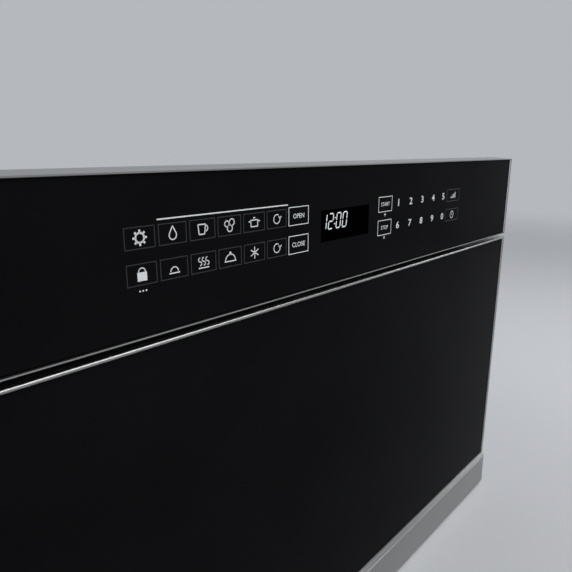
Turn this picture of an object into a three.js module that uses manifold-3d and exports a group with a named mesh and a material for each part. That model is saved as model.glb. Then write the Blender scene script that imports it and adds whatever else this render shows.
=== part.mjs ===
// A built-in microwave drawer: a fixed control panel over a motor-driven drawer.
// Millimetres, +X to the viewer's right, +Y into the cabinet, +Z up.
// The origin lies on the standing plane, under the middle of the object's box.
// Inside this file y = 0 is the face of the glass, and the last lines move the whole object to its origin.
import * as THREE from "three";
import { mergeVertices } from "three/addons/utils/BufferGeometryUtils.js";
import Module from "manifold-3d";

const wasm = await Module();
wasm.setup();

// ---------------------------------------------------------------- driving dimensions

// Sheet metal and fits
const SHEET = 1.2; // case and cavity steel
const FIT = 0.3; // gap between pieces that rest on each other
const RUNNING_FIT = 0.3; // round a shaft or a plunger

// Clear space inside the oven
const CAVITY_W = 441;
const CAVITY_H = 190;
const CAVITY_D = 424;

// Pressings and holes in the cavity's sheets
const WALL_HOLE = 5; // square, in a grid where light and steam pass
const WALL_HOLE_PITCH = 9;
const WALL_BEAD_UP = 50; // above the floor
const WALL_BEAD_H = 8;
const WALL_BEAD_OUT = 2;
const SENSOR_SLOT_W = 4;
const SENSOR_SLOT_L = 12;
const SENSOR_SLOT_PITCH = 8;

// Clear bays between the cavity and the case
const SIDE_BAY = 55.1;
const UNDER_BAY = 53.6;
const TOP_BAY = 117.6;
const REAR_BAY = 159.2;

// Case
const SKID_H = 6; // pressed runners that the base stands on
const SKID_W = 30;
const SKID_SPREAD = 400;
const CASE_FLANGE = 14;
const VENT_W = 42;
const VENT_H = 4;
const VENT_PITCH = 10;
const VENT_ROWS = 9;
const CORD_HOLE_R = 10;
const CORD_HOLE_IN = 50; // from the case's left side
const CORD_HOLE_DROP = 45; // below the case's top
const BUSH_HEAD = 4; // how far the cord bushing stands out at the back
const BUSH_NECK = 12; // how far it reaches in
const BUSH_FLANGE = 3; // beyond the hole's edge
const BEAD_W = 12; // stiffening beads pressed into the case's sides and cover
const BEAD_D = 1;
const BEAD_END = 40; // from a bead's end to the sheet's edge
const SIDE_BEADS = 3;
const COVER_BEADS = 4;

// Front: how far it stands off the cabinet face and laps over it
const STAND_OFF = 46;
const SIDE_LAP = 25;
const TOP_LAP = 30.9;
const FLOOR_CLEAR = 3;
const PLATE_T = 1.5; // front plate, the flange behind the front
const PLATE_INSET = 6; // front plate edge inside the front's edge
const RIM_CLEAR = 1; // between the case and the plate's rim, which is pressed back
const RIM_SET = 1; // how far
const MOUNT_HOLE_R = 2.5;
const MOUNT_HOLE_OUT = 9.5; // beyond the case's side
const MOUNT_ROWS = 3;
const CABLE_SLOT_X = 190;
const CABLE_SLOT_W = 40;
const CABLE_SLOT_H = 20;

// Metal edge round both panes: thin sheet that stands a little in front of the glass
const BEZEL = 0.8;
const BEZEL_PROUD = 1.3;

// Control panel
const PANEL_H = 83.3;
const GLASS_T = 4;
const GLASS_EDGE = 0.5; // ground edge
const CAP_RISE = 1.6; // from the front edge up to the cap's ridge
const CAP_FALL = 0.8; // from the ridge down to the cabinet face
const RIDGE_Y = 20; // behind the glass
const HOUSING_WALL = 3;
const HOUSING_CELLS = 12;
const BOARD_T = 1.6;
const DISPLAY_W = 52.4;
const DISPLAY_H = 21.4;
const DISPLAY_T = 12;
const DISPLAY_Z = 41.4; // display centre above the panel's lower edge

// Drawer front
const DRAWER_GAP = 3.8; // between the panel and the drawer
const STRIP_H = 39.2;
const LIP_REACH = 4.4;
const LIP_DROP = 4.2;
const LIP_FLAT = 1; // level part of the strip's top, in front of the glass
const LIP_NOSE_R = 0.9;
const LIP_TUCK = 2.2; // from the nose down to the face
const STRIP_PROUD_TOP = 3.6;
const STRIP_PROUD_FOOT = 3.9;
const TOP_TRIM_D = 8.8;
const TOP_TRIM_T = 1.8;
const FACET_D = 2.8;
const FACET_RISE = 0.3;
const TRIM_GROOVE = 0.4; // width and depth, behind the facet
const DOOR_GAP = 2.5; // behind the drawer frame, in front of the front plate
const WINDOW_W = 370;
const WINDOW_H = 150;
const WINDOW_DROP = 68.8; // window top below the drawer's top edge
const FRAME_T = 1.5;
const REBATE = 5;
const SCREEN_T = 0.8;
const SCREEN_SET = 4; // depth of the screen's rebate
const PANE_T = 3.4;
const CHOKE_W = 20;
const CHOKE_D = 18;
const CHOKE_INSET = 1.5; // outside the cavity opening
const CHOKE_COVER_T = 1.2;

// Drawer pan
const PAN_CLEAR = 4;
const PAN_T = 2;
const PAN_H = 166;
const PAN_R = 20;
const PAN_RIM = 2;
const FLOOR_TILE_T = 5;
const TILE_CLEAR = 1;

// Telescopic slides
const TRAVEL = 385;
const RAIL_H = 45;
const RAIL_W = 12.4;
const RAIL_T = 1.4;
const RAIL_LIP = 4.5;
const MID_RAIL_LIP = 6.5;
const RAIL_PLAY = 0.4; // space that the balls fill
const RAIL_L = 420;
const RAIL_START = 52;
const RAIL_Z = 50;
const RAIL_FOOT_W = 18;
const RAIL_FOOT_H = 30;
const FOOT_T = 1.2;
const SLOT_CLEAR = 1.2;

// Rack and pinion
const GEAR_MODULE = 1.5;
const PINION_TEETH = 20;
const PRESSURE_ANGLE = THREE.MathUtils.degToRad(20);
const BACKLASH = 0.5;
const RACK_X = 66; // pitch line
const RACK_W = 12; // pitch line to the rack's back
const RACK_T = 11;
const RACK_Z = 26;
const RACK_L = 430;
const RACK_PLAIN = 8; // without teeth, next to the door
const RACK_FOOT_W = 30;
const RACK_FOOT_DROP = 3; // below the bar
const PINION_Y = 78;
const PINION_SHAFT_R = 4;
const PINION_SHAFT_L = 8; // below the teeth
const PINION_CLEAR = 1.5; // above the gear case
const GEARCASE_R = 25;
const GEARCASE_T = 16;
const MOTOR_R = 15;
const MOTOR_L = 62;
const NECK_W = 18; // between the gear case and the motor
const NECK_FRONT = 12;
const NECK_BACK = 34;
const GEAR_EAR_X = 12; // mounting ears, from the pinion's axis
const GEAR_EAR_R = 6;
const GEAR_EAR_H = 5;

// Latch and its switches
const HOOK_OUT = 30.5; // beyond the cavity's side
const HOOK_T = 6;
const HOOK_L = 30;
const HOOK_H = 9;
const HOOK_Z = 290;
const HOOK_FOOT_W = 14;
const HOOK_FOOT_H = 24;
const BARB_L = 9;
const BARB_DROP = 3;
const NOSE_CHAMFER = 2;
const SWITCH_W = 10;
const SWITCH_H = 16;
const SWITCH_L = 28;
const SWITCH_ARM_T = 2;
const SWITCH_FOOT_W = 14;
const SWITCH_FOOT_T = 1.5;
const SWITCH_FOOT_OVER = 2; // above and below the switch
const PLUNGER_R = 2.5;
const PLUNGER_OUT = 4;
const PLUNGER_L = 8;
const PLUNGER_TRAVEL = 2;

// Stirrer and microwave feed
const CHAMBER_W = 200;
const CHAMBER_H = 31;
const CHAMBER_Y = 260;
const COVER_LAP = 5;
const COVER_T = 1.3;
const COVER_R = 8;
const STIRRER_R = 80;
const VANE_W = 30;
const VANE_T = 1;
const VANE_TILT = THREE.MathUtils.degToRad(30);
const STIRRER_HUB_R = 12;
const STIRRER_HUB_H = 10;
const STIRRER_DROP = 1.7; // the vanes' middle below the chamber's
const STIRRER_SHAFT_R = 3;
const STIRRER_MOTOR_R = 25;
const STIRRER_MOTOR_H = 18;
const STIRRER_EAR_OUT = 9;
const STIRRER_EAR_W = 14;
const STIRRER_EAR_T = 2;
const GUIDE_W = 86;
const GUIDE_H = 29;
const GUIDE_TAIL = 105; // beyond the cavity's back
const ANTENNA_R = 14;
const ANTENNA_CLEAR = 3;
const ANTENNA_DROP = 5.2; // its tip below the waveguide's roof
const MAGNETRON_SETBACK = 60;
const MAGNETRON_W = 96;
const MAGNETRON_D = 72;
const MAGNETRON_H = 60;
const MAGNETRON_FINS = 6;
const FIN_T = 1;
const FIN_IN = 12; // inside the top flange's ends
const ANODE_R = 19;
const YOKE_T = 2;
const YOKE_IN = 8; // inside the top flange's ends
const FILTER_BOX_W = 56;
const FILTER_BOX_D = 44;
const FILTER_BOX_H = 32;

// Fan and duct
const DUCT_L = 83.4;
const FAN_SIZE = 128;
const FAN_DEPTH = 36;
const FAN_BORE_R = 59;
const FAN_TIP_CLEAR = 5;
const FAN_HUB_R = 16;
const FAN_HUB_L = 18;
const FAN_BLADES = 5;
const BLADE_T = 1.6;
const BLADE_ROOT_W = 26;
const BLADE_TIP_W = 44;
const BLADE_ROOT_PITCH = THREE.MathUtils.degToRad(42);
const BLADE_TIP_PITCH = THREE.MathUtils.degToRad(22);
const FAN_DROP = 33.2; // its axis below the cavity roof's top
const FAN_SHAFT_R = 2.5;
const FAN_SHAFT_IN = 8; // into its bearing
const FAN_MOTOR_R = 17;
const FAN_MOTOR_L = 30;
const FAN_STACK_T = 16;
const FAN_STACK_W = 48;
const FAN_STACK_H = 66;
const FAN_STACK_OVER = 22; // above the axis
const FAN_COIL_T = 24;
const FAN_COIL_W = 28;
const FAN_COIL_H = 17;
const FAN_COIL_UP = 4; // from the stack's foot
const SPIDER_T = 4;
const SPIDER_ARM = 8;
const SPIDER_RING = 4; // beyond the blade's hub
const DUCT_WALL = 1.5;
const DUCT_LAP = 3; // round the magnetron's fins
const DUCT_END_IN = 4; // inside the shroud's edge

// Transformer and capacitor
const CORE_W = 96;
const CORE_H = 80;
const CORE_STACK = 60;
const CORE_LEG = 16;
const COIL_OVER = 15; // how far a coil stands out of the stack
const CORE_FOOT = 12; // how far each foot stands out beside the stack
const CORE_FOOT_T = 2;
const COIL_R = 8;
const CORE_IN = 76.8; // its centre from the case's left wall
const CORE_SETBACK = 75;
const CAN_W = 50;
const CAN_D = 32;
const CAN_H = 86;
const CAN_GAP = 20; // beside the core's foot
const CLAMP_H = 15;
const CLAMP_T = 1.2;
const CLAMP_LEG_W = 16;
const CLAMP_FOOT_L = 14;
const TERMINAL_OUT = 10;
const TERMINAL_W = 6;
const TERMINAL_T = 1;
const TERMINAL_H = 9;

// Boards, lamp and sensor
const POWER_BOARD_W = 104;
const POWER_BOARD_D = 140;
const POWER_BOARD_IN = 5.5; // its edge inside the cavity's side
const POWER_BOARD_Y = 130;
const FILTER_BOARD_W = 100;
const FILTER_BOARD_D = 70;
const FILTER_BOARD_IN = 21.8; // its edge inside the case's right wall
const FILTER_SETBACK = 70;
const STANDOFF_H = 7;
const STANDOFF_R = 3;
const STANDOFF_IN = 6;
const BOARD_MARGIN = 14; // from a board's edge to its first part
const PART_GAP = 10;
const RELAYS = 3;
const RELAY_W = 20;
const RELAY_D = 28;
const RELAY_H = 22;
const RELAY_GAP = 6;
const SUPPLY_W = 38;
const SUPPLY_D = 34;
const SUPPLY_H = 30;
const SINK_FINS = 5;
const SINK_FIN_T = 2;
const SINK_GAP = 6;
const SINK_H = 25;
const SMALL_CANS = 4;
const SMALL_CAN_R = 5;
const SMALL_CAN_H = 20;
const SMALL_CAN_GAP = 8;
const COIL_RING_R = 17;
const COIL_RING_BORE_R = 8;
const COIL_RING_H = 16;
const FILM_W = 32;
const FILM_D = 14;
const FILM_H = 20;
const FUSE_R = 3.2;
const FUSE_L = 30;
const LAMP_Y = 250;
const LAMP_DROP = 40; // lamp centre below the cavity roof
const LAMP_CUP_R = 13;
const LAMP_CUP_L = 26;
const LAMP_CUP_WALL = 2;
const LAMP_CUP_BACK = 3;
const LAMP_EAR_L = 52;
const LAMP_EAR_W = 14;
const LAMP_EAR_T = 1.5;
const LAMP_SOCKET_W = 16;
const LAMP_SOCKET_H = 12;
const LAMP_SOCKET_L = 8;
const LAMP_BULB_R = 8;
const LAMP_BULB_IN = 5; // from the cup's mouth to the bulb's tip
const LAMP_CAP_R = 6;
const LAMP_CAP_H = 5;
const SENSOR_IN = 40.5; // its centre inside the cavity's left side
const SENSOR_R = 8;
const SENSOR_H = 16;
const SENSOR_BASE_T = 3;
const SENSOR_Y = 120;

// ---------------------------------------------------------------- places worked out from them

const BODY_W = CAVITY_W + 2 * (SHEET + SIDE_BAY + SHEET);
const BODY_D = CAVITY_D + SHEET + REAR_BAY + SHEET;
const FRONT_W = BODY_W + 2 * SIDE_LAP;

const baseTop = SKID_H + SHEET;
const cavityFloor = baseTop + UNDER_BAY + SHEET;
const cavityRoof = cavityFloor + CAVITY_H;
const bodyTop = cavityRoof + SHEET + TOP_BAY + SHEET;
const frontTop = bodyTop + TOP_LAP;

const plateFront = STAND_OFF - PLATE_T;
const bayFront = STAND_OFF + FIT; // first piece behind the front plate
const cavityBack = STAND_OFF + CAVITY_D;
const rearBayFront = cavityBack + FIT + SHEET;
const bodyBack = STAND_OFF + BODY_D;
const caseInside = BODY_W / 2 - SHEET;
const caseBack = bodyBack - 2 * (SHEET + FIT); // in front of the side panels' rear flanges
const cavitySide = CAVITY_W / 2;

const panelFoot = frontTop - PANEL_H;
const capFront = frontTop - CAP_RISE;
const drawerTop = panelFoot - DRAWER_GAP;
const stripTop = FLOOR_CLEAR + STRIP_H;
const halfFront = FRONT_W / 2;
const insideBezel = halfFront - BEZEL - FIT;
const glassBack = GLASS_T + FIT;
const doorBack = plateFront - DOOR_GAP;
const windowTop = drawerTop - WINDOW_DROP;
const windowFoot = windowTop - WINDOW_H;
const behindDoor = doorBack + FIT; // what is bolted to the drawer frame starts here

const panHalf = cavitySide - PAN_CLEAR;
const panFloor = cavityFloor + PAN_CLEAR;
const panBack = cavityBack - 2 * PAN_CLEAR;

const pinionR = (GEAR_MODULE * PINION_TEETH) / 2;
const toothPitch = Math.PI * GEAR_MODULE;
const railWall = caseInside - FIT;

const roofTop = cavityRoof + SHEET;
const onRoof = roofTop + FIT;
const onBase = baseTop + FIT;
const chamberTop = roofTop + CHAMBER_H;
const chamberBack = CHAMBER_Y + CHAMBER_W / 2 + SHEET;
const magnetronY = rearBayFront + MAGNETRON_SETBACK;
const magnetronTop = onRoof - FIT;
const fanX = MAGNETRON_W / 2 + DUCT_L + 2 * FIT; // near face of the shroud
const fanY = rearBayFront + FIT + FAN_SIZE / 2;
const fanZ = roofTop - FAN_DROP;
const fanBack = fanX + FAN_DEPTH;
const coreX = CORE_IN - caseInside;
const canX = coreX + CORE_W / 2 + CORE_FOOT + CAN_GAP + CAN_W / 2;
const hookX = cavitySide + HOOK_OUT;
const sensorX = SENSOR_IN - cavitySide;

// ---------------------------------------------------------------- shapes

// A closed geometry as a solid that can be joined and cut.
function solidOf(geometry) {
  const bare = geometry.index ? geometry.toNonIndexed() : geometry.clone();
  bare.deleteAttribute("normal");
  bare.deleteAttribute("uv");
  const merged = mergeVertices(bare, 1e-4);
  const vertProperties = merged.attributes.position.array;
  const triVerts = new Uint32Array(merged.index.array);
  return new wasm.Manifold(new wasm.Mesh({ numProp: 3, vertProperties, triVerts }));
}

function geometryOf(solid) {
  const mesh = solid.getMesh();
  const geometry = new THREE.BufferGeometry();
  geometry.setAttribute("position", new THREE.BufferAttribute(mesh.vertProperties, 3));
  geometry.setIndex(new THREE.BufferAttribute(mesh.triVerts, 1));
  const faceted = geometry.toNonIndexed();
  faceted.computeVertexNormals();
  return faceted;
}

const join = (first, ...others) => others.reduce((sum, solid) => sum.add(solid), first);
const cut = (solid, ...tools) => tools.reduce((rest, tool) => rest.subtract(tool), solid);

function block(x0, x1, y0, y1, z0, z1) {
  const geometry = new THREE.BoxGeometry(x1 - x0, y1 - y0, z1 - z0);
  geometry.translate((x0 + x1) / 2, (y0 + y1) / 2, (z0 + z1) / 2);
  return solidOf(geometry);
}

const outline = (points) => new THREE.Shape(points.map(([a, b]) => new THREE.Vector2(a, b)));

// An outline pushed along an axis. Its own two coordinates are (y, z), (x, z) or (x, y).
const TURNED = {
  x: new THREE.Matrix4().set(0, 0, 1, 0, 1, 0, 0, 0, 0, 1, 0, 0, 0, 0, 0, 1),
  y: new THREE.Matrix4().set(1, 0, 0, 0, 0, 0, -1, 0, 0, 1, 0, 0, 0, 0, 0, 1),
  z: new THREE.Matrix4(),
};

function extruded(axis, shape, from, to, bevel) {
  const geometry = new THREE.ExtrudeGeometry(shape, {
    depth: to - from - 2 * bevel,
    bevelEnabled: bevel > 0,
    bevelThickness: bevel,
    bevelSize: bevel,
    bevelOffset: -bevel,
    bevelSegments: 1,
  });
  geometry.applyMatrix4(TURNED[axis]);
  const start = new THREE.Vector3();
  start[axis] = axis === "y" ? to - bevel : from + bevel;
  geometry.translate(start.x, start.y, start.z);
  return solidOf(geometry);
}

// The outline's holes are cut right through the prism.
function prism(axis, section, from, to, bevel = 0) {
  const shape = Array.isArray(section) ? outline(section) : section;
  const body = extruded(axis, new THREE.Shape(shape.getPoints()), from, to, bevel);
  const holes = shape.holes.map((hole) => extruded(axis, hole, from - 1, to + 1, 0));
  return cut(body, ...holes);
}

function rectangle(a0, a1, b0, b1) {
  return outline([
    [a0, b0],
    [a1, b0],
    [a1, b1],
    [a0, b1],
  ]);
}

// Points along an arc, both ends included. Angles are in quarter turns.
function arc(a, b, r, from, to, steps) {
  return Array.from({ length: steps + 1 }, (_, i) => {
    const angle = ((from + ((to - from) * i) / steps) * Math.PI) / 2;
    return [a + r * Math.cos(angle), b + r * Math.sin(angle)];
  });
}

const circle = (a, b, r, steps = 24) => outline(arc(a, b, r, 0, 4, steps).slice(1));

function roundedRectangle(a0, a1, b0, b1, r, steps = 4) {
  return outline([
    ...arc(a1 - r, b0 + r, r, -1, 0, steps),
    ...arc(a1 - r, b1 - r, r, 0, 1, steps),
    ...arc(a0 + r, b1 - r, r, 1, 2, steps),
    ...arc(a0 + r, b0 + r, r, 2, 3, steps),
  ]);
}

// A round bar along an axis, centred on the other two coordinates in X, Y, Z order.
function rod(axis, a, b, r, from, to, sides = 20) {
  const geometry = new THREE.CylinderGeometry(r, r, to - from, sides);
  const centre = (from + to) / 2;
  if (axis === "x") geometry.rotateZ(Math.PI / 2).translate(centre, a, b);
  if (axis === "y") geometry.translate(a, centre, b);
  if (axis === "z") geometry.rotateX(Math.PI / 2).translate(a, b, centre);
  return solidOf(geometry);
}

// The section of a sheet folded along a path. The path is its outer face, and the metal lies to its left.
function bentSheet(path, thickness) {
  const outer = path.map(([a, b]) => new THREE.Vector2(a, b));
  const leftOf = (from, to) => {
    const along = to.clone().sub(from).normalize();
    return new THREE.Vector2(-along.y, along.x);
  };
  const inner = outer.map((point, i) => {
    const before = leftOf(outer[Math.max(i - 1, 0)], outer[Math.max(i, 1)]);
    const last = outer.length - 1;
    const after = leftOf(outer[Math.min(i, last - 1)], outer[Math.min(i + 1, last)]);
    const mitre = before.clone().add(after).normalize();
    return point.clone().addScaledVector(mitre, thickness / mitre.dot(before));
  });
  return new THREE.Shape([...outer, ...inner.reverse()]);
}

// Places spread evenly, both ends included.
const evenly = (count, from, to) =>
  Array.from({ length: count }, (_, i) => from + (i * (to - from)) / Math.max(count - 1, 1));

// The two sides of the object mirror each other: side is 1 on the right and -1 on the left.
const mirrored = (side, shape) => shape.map(([x, other]) => [side * x, other]);
const across = (side, x0, x1) => (side > 0 ? [x0, x1] : [-x1, -x0]);

// ---------------------------------------------------------------- the object and its finishes

const microwaveDrawer = new THREE.Group();
microwaveDrawer.name = "microwave_drawer";

const FINISHES = {
  blackGlass: { color: 0x060607, roughness: 0.05, metalness: 0 },
  clearGlass: { color: 0x20262a, roughness: 0.05, metalness: 0 },
  brushedSteel: { color: 0xb9b9b7, roughness: 0.32, metalness: 1 },
  zincSteel: { color: 0x9a9ea0, roughness: 0.45, metalness: 0.9 },
  enamel: { color: 0x8f9294, roughness: 0.4, metalness: 0.2 },
  blackEnamel: { color: 0x151516, roughness: 0.5, metalness: 0.2 },
  blackPlastic: { color: 0x131314, roughness: 0.55, metalness: 0 },
  whitePlastic: { color: 0xd6d3c8, roughness: 0.5, metalness: 0 },
  ceramic: { color: 0x2b2b2c, roughness: 0.2, metalness: 0 },
  circuitBoard: { color: 0x1e4a2c, roughness: 0.5, metalness: 0 },
  copperWire: { color: 0x8a4a25, roughness: 0.4, metalness: 0.6 },
  lamination: { color: 0x4b4d50, roughness: 0.6, metalness: 0.8 },
  aluminium: { color: 0xc4c6c8, roughness: 0.35, metalness: 1 },
  mica: { color: 0xb8a888, roughness: 0.6, metalness: 0 },
};

function piece(name, finish, solid) {
  const mesh = new THREE.Mesh(geometryOf(solid), new THREE.MeshStandardMaterial(FINISHES[finish]));
  mesh.name = name;
  microwaveDrawer.add(mesh);
}

// ---------------------------------------------------------------- case

// One pressing: sides folded up, and two runners pressed down to stand on.
function basePlate() {
  const side = caseInside - FIT;
  const runner = (centre) => [
    [centre - SKID_W / 2, SKID_H],
    [centre - SKID_W / 2 + SKID_H / 2, 0],
    [centre + SKID_W / 2 - SKID_H / 2, 0],
    [centre + SKID_W / 2, SKID_H],
  ];
  const path = [
    [-side, SKID_H + CASE_FLANGE],
    [-side, SKID_H],
    ...runner(-SKID_SPREAD / 2),
    ...runner(SKID_SPREAD / 2),
    [side, SKID_H],
    [side, SKID_H + CASE_FLANGE],
  ];
  return prism("y", bentSheet(path, SHEET), bayFront, caseBack);
}

// Presses a bead along a sheet that faces an axis: a ridge on its inner side, a groove in its outer side.
function pressBead(sheet, axis, centre, outer, inward) {
  const slot = (inset, a, b) => {
    const half = BEAD_W / 2 - inset;
    const ends = [bayFront + BEAD_END + inset, caseBack - BEAD_END - inset];
    const edges = [centre - half, centre + half];
    const limits = axis === "x" ? [...ends, ...edges] : [...edges, ...ends];
    return prism(axis, roundedRectangle(...limits, half - 0.01), Math.min(a, b), Math.max(a, b));
  };
  const ridge = slot(0, outer + inward * (SHEET + BEAD_D), outer + (inward * SHEET) / 2);
  const groove = slot(SHEET, outer + inward * BEAD_D, outer - inward);
  return cut(join(sheet, ridge), groove);
}

// A flat side folded in behind the rear panel's edge, with beads between its slide and its top.
function sidePanel(side) {
  const back = bodyBack - SHEET - FIT;
  const outside = BODY_W / 2;
  const path = mirrored(side, [
    [outside, bayFront],
    [outside, back],
    [outside - CASE_FLANGE, back],
  ]);
  const sheet = prism("z", bentSheet(side > 0 ? path : path.reverse(), SHEET), SKID_H, bodyTop);
  const lowest = RAIL_Z + RAIL_H / 2 + BEAD_END;
  const highest = bodyTop - CASE_FLANGE - BEAD_END;
  return evenly(SIDE_BEADS, lowest, highest).reduce(
    (panel, z) => pressBead(panel, "x", z, side * outside, -side),
    sheet,
  );
}

function topCover() {
  const side = caseInside - FIT;
  const path = [
    [side, bodyTop - CASE_FLANGE],
    [side, bodyTop],
    [-side, bodyTop],
    [-side, bodyTop - CASE_FLANGE],
  ];
  const sheet = prism("y", bentSheet(path, SHEET), bayFront, caseBack);
  const outermost = side - 1.5 * BEAD_END;
  return evenly(COVER_BEADS, -outermost, outermost).reduce(
    (cover, x) => pressBead(cover, "z", x, bodyTop, -1),
    sheet,
  );
}

// The back of the case: an air inlet behind the fan, an outlet on the other side, and the cord's hole.
function rearPanel() {
  const sheet = rectangle(-BODY_W / 2, BODY_W / 2, SKID_H, bodyTop);
  const columns = [fanX - VENT_W / 4, fanX + VENT_W, coreX, coreX + 1.25 * VENT_W];
  for (const column of columns)
    for (let row = 0; row < VENT_ROWS; row++) {
      const z = fanZ + (row - (VENT_ROWS - 1) / 2) * VENT_PITCH;
      sheet.holes.push(rectangle(column, column + VENT_W, z - VENT_H / 2, z + VENT_H / 2));
    }
  sheet.holes.push(circle(cordHoleX, cordHoleZ, CORD_HOLE_R));
  return prism("y", sheet, bodyBack - SHEET, bodyBack);
}

const cordHoleX = CORD_HOLE_IN - BODY_W / 2;
const cordHoleZ = bodyTop - CORD_HOLE_DROP;

// A snap-in bush with a flange outside and a groove that holds the sheet.
function cordBushing() {
  const bore = CORD_HOLE_R / 2;
  const neck = CORD_HOLE_R - RUNNING_FIT;
  const flange = CORD_HOLE_R + BUSH_FLANGE;
  const profile = [
    [bore, -BUSH_NECK],
    [neck, -BUSH_NECK],
    [neck, SHEET + FIT],
    [flange, SHEET + FIT],
    [flange - 1, SHEET + BUSH_HEAD],
    [bore, SHEET + BUSH_HEAD],
    [bore, -BUSH_NECK],
  ];
  const lathe = new THREE.LatheGeometry(profile.map(([r, h]) => new THREE.Vector2(r, h)), 16);
  lathe.translate(cordHoleX, bodyBack - SHEET, cordHoleZ);
  return solidOf(lathe);
}

// The front plate carries everything. Its rim is pressed back round the case and screwed to the cabinet.
function frontPlate() {
  const edge = halfFront - PLATE_INSET;
  const foot = FLOOR_CLEAR + PLATE_INSET;
  const top = frontTop - PLATE_INSET;
  const rimX = BODY_W / 2 + RIM_CLEAR;
  const rimZ = bodyTop + RIM_CLEAR;
  const rim = outline([
    [-edge, foot],
    [-rimX, foot],
    [-rimX, rimZ],
    [rimX, rimZ],
    [rimX, foot],
    [edge, foot],
    [edge, top],
    [-edge, top],
  ]);
  const plate = rectangle(-rimX - PLATE_T, rimX + PLATE_T, foot, rimZ + PLATE_T);
  plate.holes.push(rectangle(-cavitySide, cavitySide, cavityFloor, cavityRoof));
  for (const side of [-1, 1]) {
    const [rail0, rail1] = across(side, railWall - RAIL_W - SLOT_CLEAR, railWall + FIT);
    const railTop = RAIL_Z + RAIL_H / 2 + SLOT_CLEAR;
    plate.holes.push(rectangle(rail0, rail1, RAIL_Z - RAIL_H / 2 - SLOT_CLEAR, railTop));
    const hookHalf = HOOK_T / 2 + SLOT_CLEAR;
    const [hook0, hook1] = across(side, hookX - hookHalf, hookX + hookHalf);
    const hookRoom = HOOK_H / 2 + 3 * SLOT_CLEAR;
    plate.holes.push(rectangle(hook0, hook1, HOOK_Z - hookRoom, HOOK_Z + hookRoom));
    for (let row = 0; row < MOUNT_ROWS; row++) {
      const z = cavityFloor + (row * (cavityRoof - cavityFloor)) / (MOUNT_ROWS - 1);
      rim.holes.push(circle(side * (BODY_W / 2 + MOUNT_HOLE_OUT), z, MOUNT_HOLE_R, 12));
    }
  }
  const rackRoom = 2 * SLOT_CLEAR;
  const rackBack = RACK_X + RACK_W;
  const tips = RACK_X - GEAR_MODULE;
  plate.holes.push(
    rectangle(tips - rackRoom, rackBack + rackRoom, RACK_Z - rackRoom, RACK_Z + RACK_T + rackRoom),
  );
  const cableFoot = panelFoot + CABLE_SLOT_H / 2;
  const cableSlot = [CABLE_SLOT_X, CABLE_SLOT_X + CABLE_SLOT_W, cableFoot, cableFoot + CABLE_SLOT_H];
  plate.holes.push(rectangle(...cableSlot));
  return join(
    prism("y", plate, plateFront, STAND_OFF),
    prism("y", rim, plateFront + RIM_SET, STAND_OFF + RIM_SET),
  );
}

piece("base_plate", "zincSteel", basePlate());
piece("left_side_panel", "zincSteel", sidePanel(-1));
piece("right_side_panel", "zincSteel", sidePanel(1));
piece("top_cover", "zincSteel", topCover());
piece("rear_panel", "zincSteel", rearPanel());
piece("cord_bushing", "blackPlastic", cordBushing());
piece("front_plate", "zincSteel", frontPlate());

// ---------------------------------------------------------------- oven cavity

// A side wall with a pressed bead, and a grid of small holes where light or steam passes.
function cavityWall(side) {
  const [x0, x1] = across(side, cavitySide, cavitySide + SHEET);
  const sheet = rectangle(bayFront, cavityBack, cavityFloor + FIT, cavityRoof - FIT);
  const half = WALL_HOLE / 2;
  for (let row = -1; row <= 1; row++)
    for (let column = -1; column <= 1; column++) {
      const y = LAMP_Y + column * WALL_HOLE_PITCH;
      const z = cavityRoof - LAMP_DROP + row * WALL_HOLE_PITCH;
      sheet.holes.push(rectangle(y - half, y + half, z - half, z + half));
    }
  const wall = prism("x", sheet, x0, x1);
  const [bead0, bead1] = across(side, cavitySide + SHEET / 2, cavitySide + SHEET + WALL_BEAD_OUT);
  const beadFoot = cavityFloor + WALL_BEAD_UP;
  const beadPlan = rectangle(bead0, bead1, bayFront + BEAD_END, cavityBack - BEAD_END);
  const bead = prism("z", beadPlan, beadFoot, beadFoot + WALL_BEAD_H);
  return join(wall, bead);
}

function cavityFloorSheet() {
  const edge = cavitySide + SHEET;
  return block(-edge, edge, bayFront, cavityBack, cavityFloor - SHEET, cavityFloor);
}

function cavityBackWall() {
  const edge = cavitySide + SHEET;
  return block(-edge, edge, cavityBack + FIT, rearBayFront, cavityFloor - SHEET, roofTop);
}

// The roof has the stirrer's chamber drawn up out of it, open to the waveguide at its back.
function cavityRoofSheet() {
  const edge = cavitySide + SHEET;
  const half = CHAMBER_W / 2;
  const sheet = block(-edge, edge, bayFront, cavityBack, cavityRoof, roofTop);
  const y0 = CHAMBER_Y - half;
  const y1 = CHAMBER_Y + half;
  const top = chamberTop + SHEET;
  const chamber = block(-half - SHEET, half + SHEET, y0 - SHEET, y1 + SHEET, cavityRoof, top);
  const room = block(-half, half, y0, y1, cavityRoof - 1, chamberTop);
  const shaftHole = rod("z", 0, CHAMBER_Y, STIRRER_SHAFT_R + 1, chamberTop - 1, chamberTop + 2 * SHEET, 16);
  const guideHalf = GUIDE_W / 2 - SHEET;
  const feed = block(-guideHalf, guideHalf, y1 - 1, y1 + 2 * SHEET, onRoof + SHEET, onRoof + GUIDE_H - SHEET);
  const slots = [-1, 0, 1].map((i) => {
    const x = sensorX + i * SENSOR_SLOT_PITCH;
    const halfW = SENSOR_SLOT_W / 2;
    const halfL = SENSOR_SLOT_L / 2;
    return block(x - halfW, x + halfW, SENSOR_Y - halfL, SENSOR_Y + halfL, cavityRoof - 1, roofTop + 1);
  });
  return cut(join(sheet, chamber), room, shaftHole, feed, ...slots);
}

function stirrerCover() {
  const half = CHAMBER_W / 2 + COVER_LAP;
  const top = cavityRoof - FIT;
  const plate = roundedRectangle(-half, half, CHAMBER_Y - half, CHAMBER_Y + half, COVER_R);
  return prism("z", plate, top - COVER_T, top);
}

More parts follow.
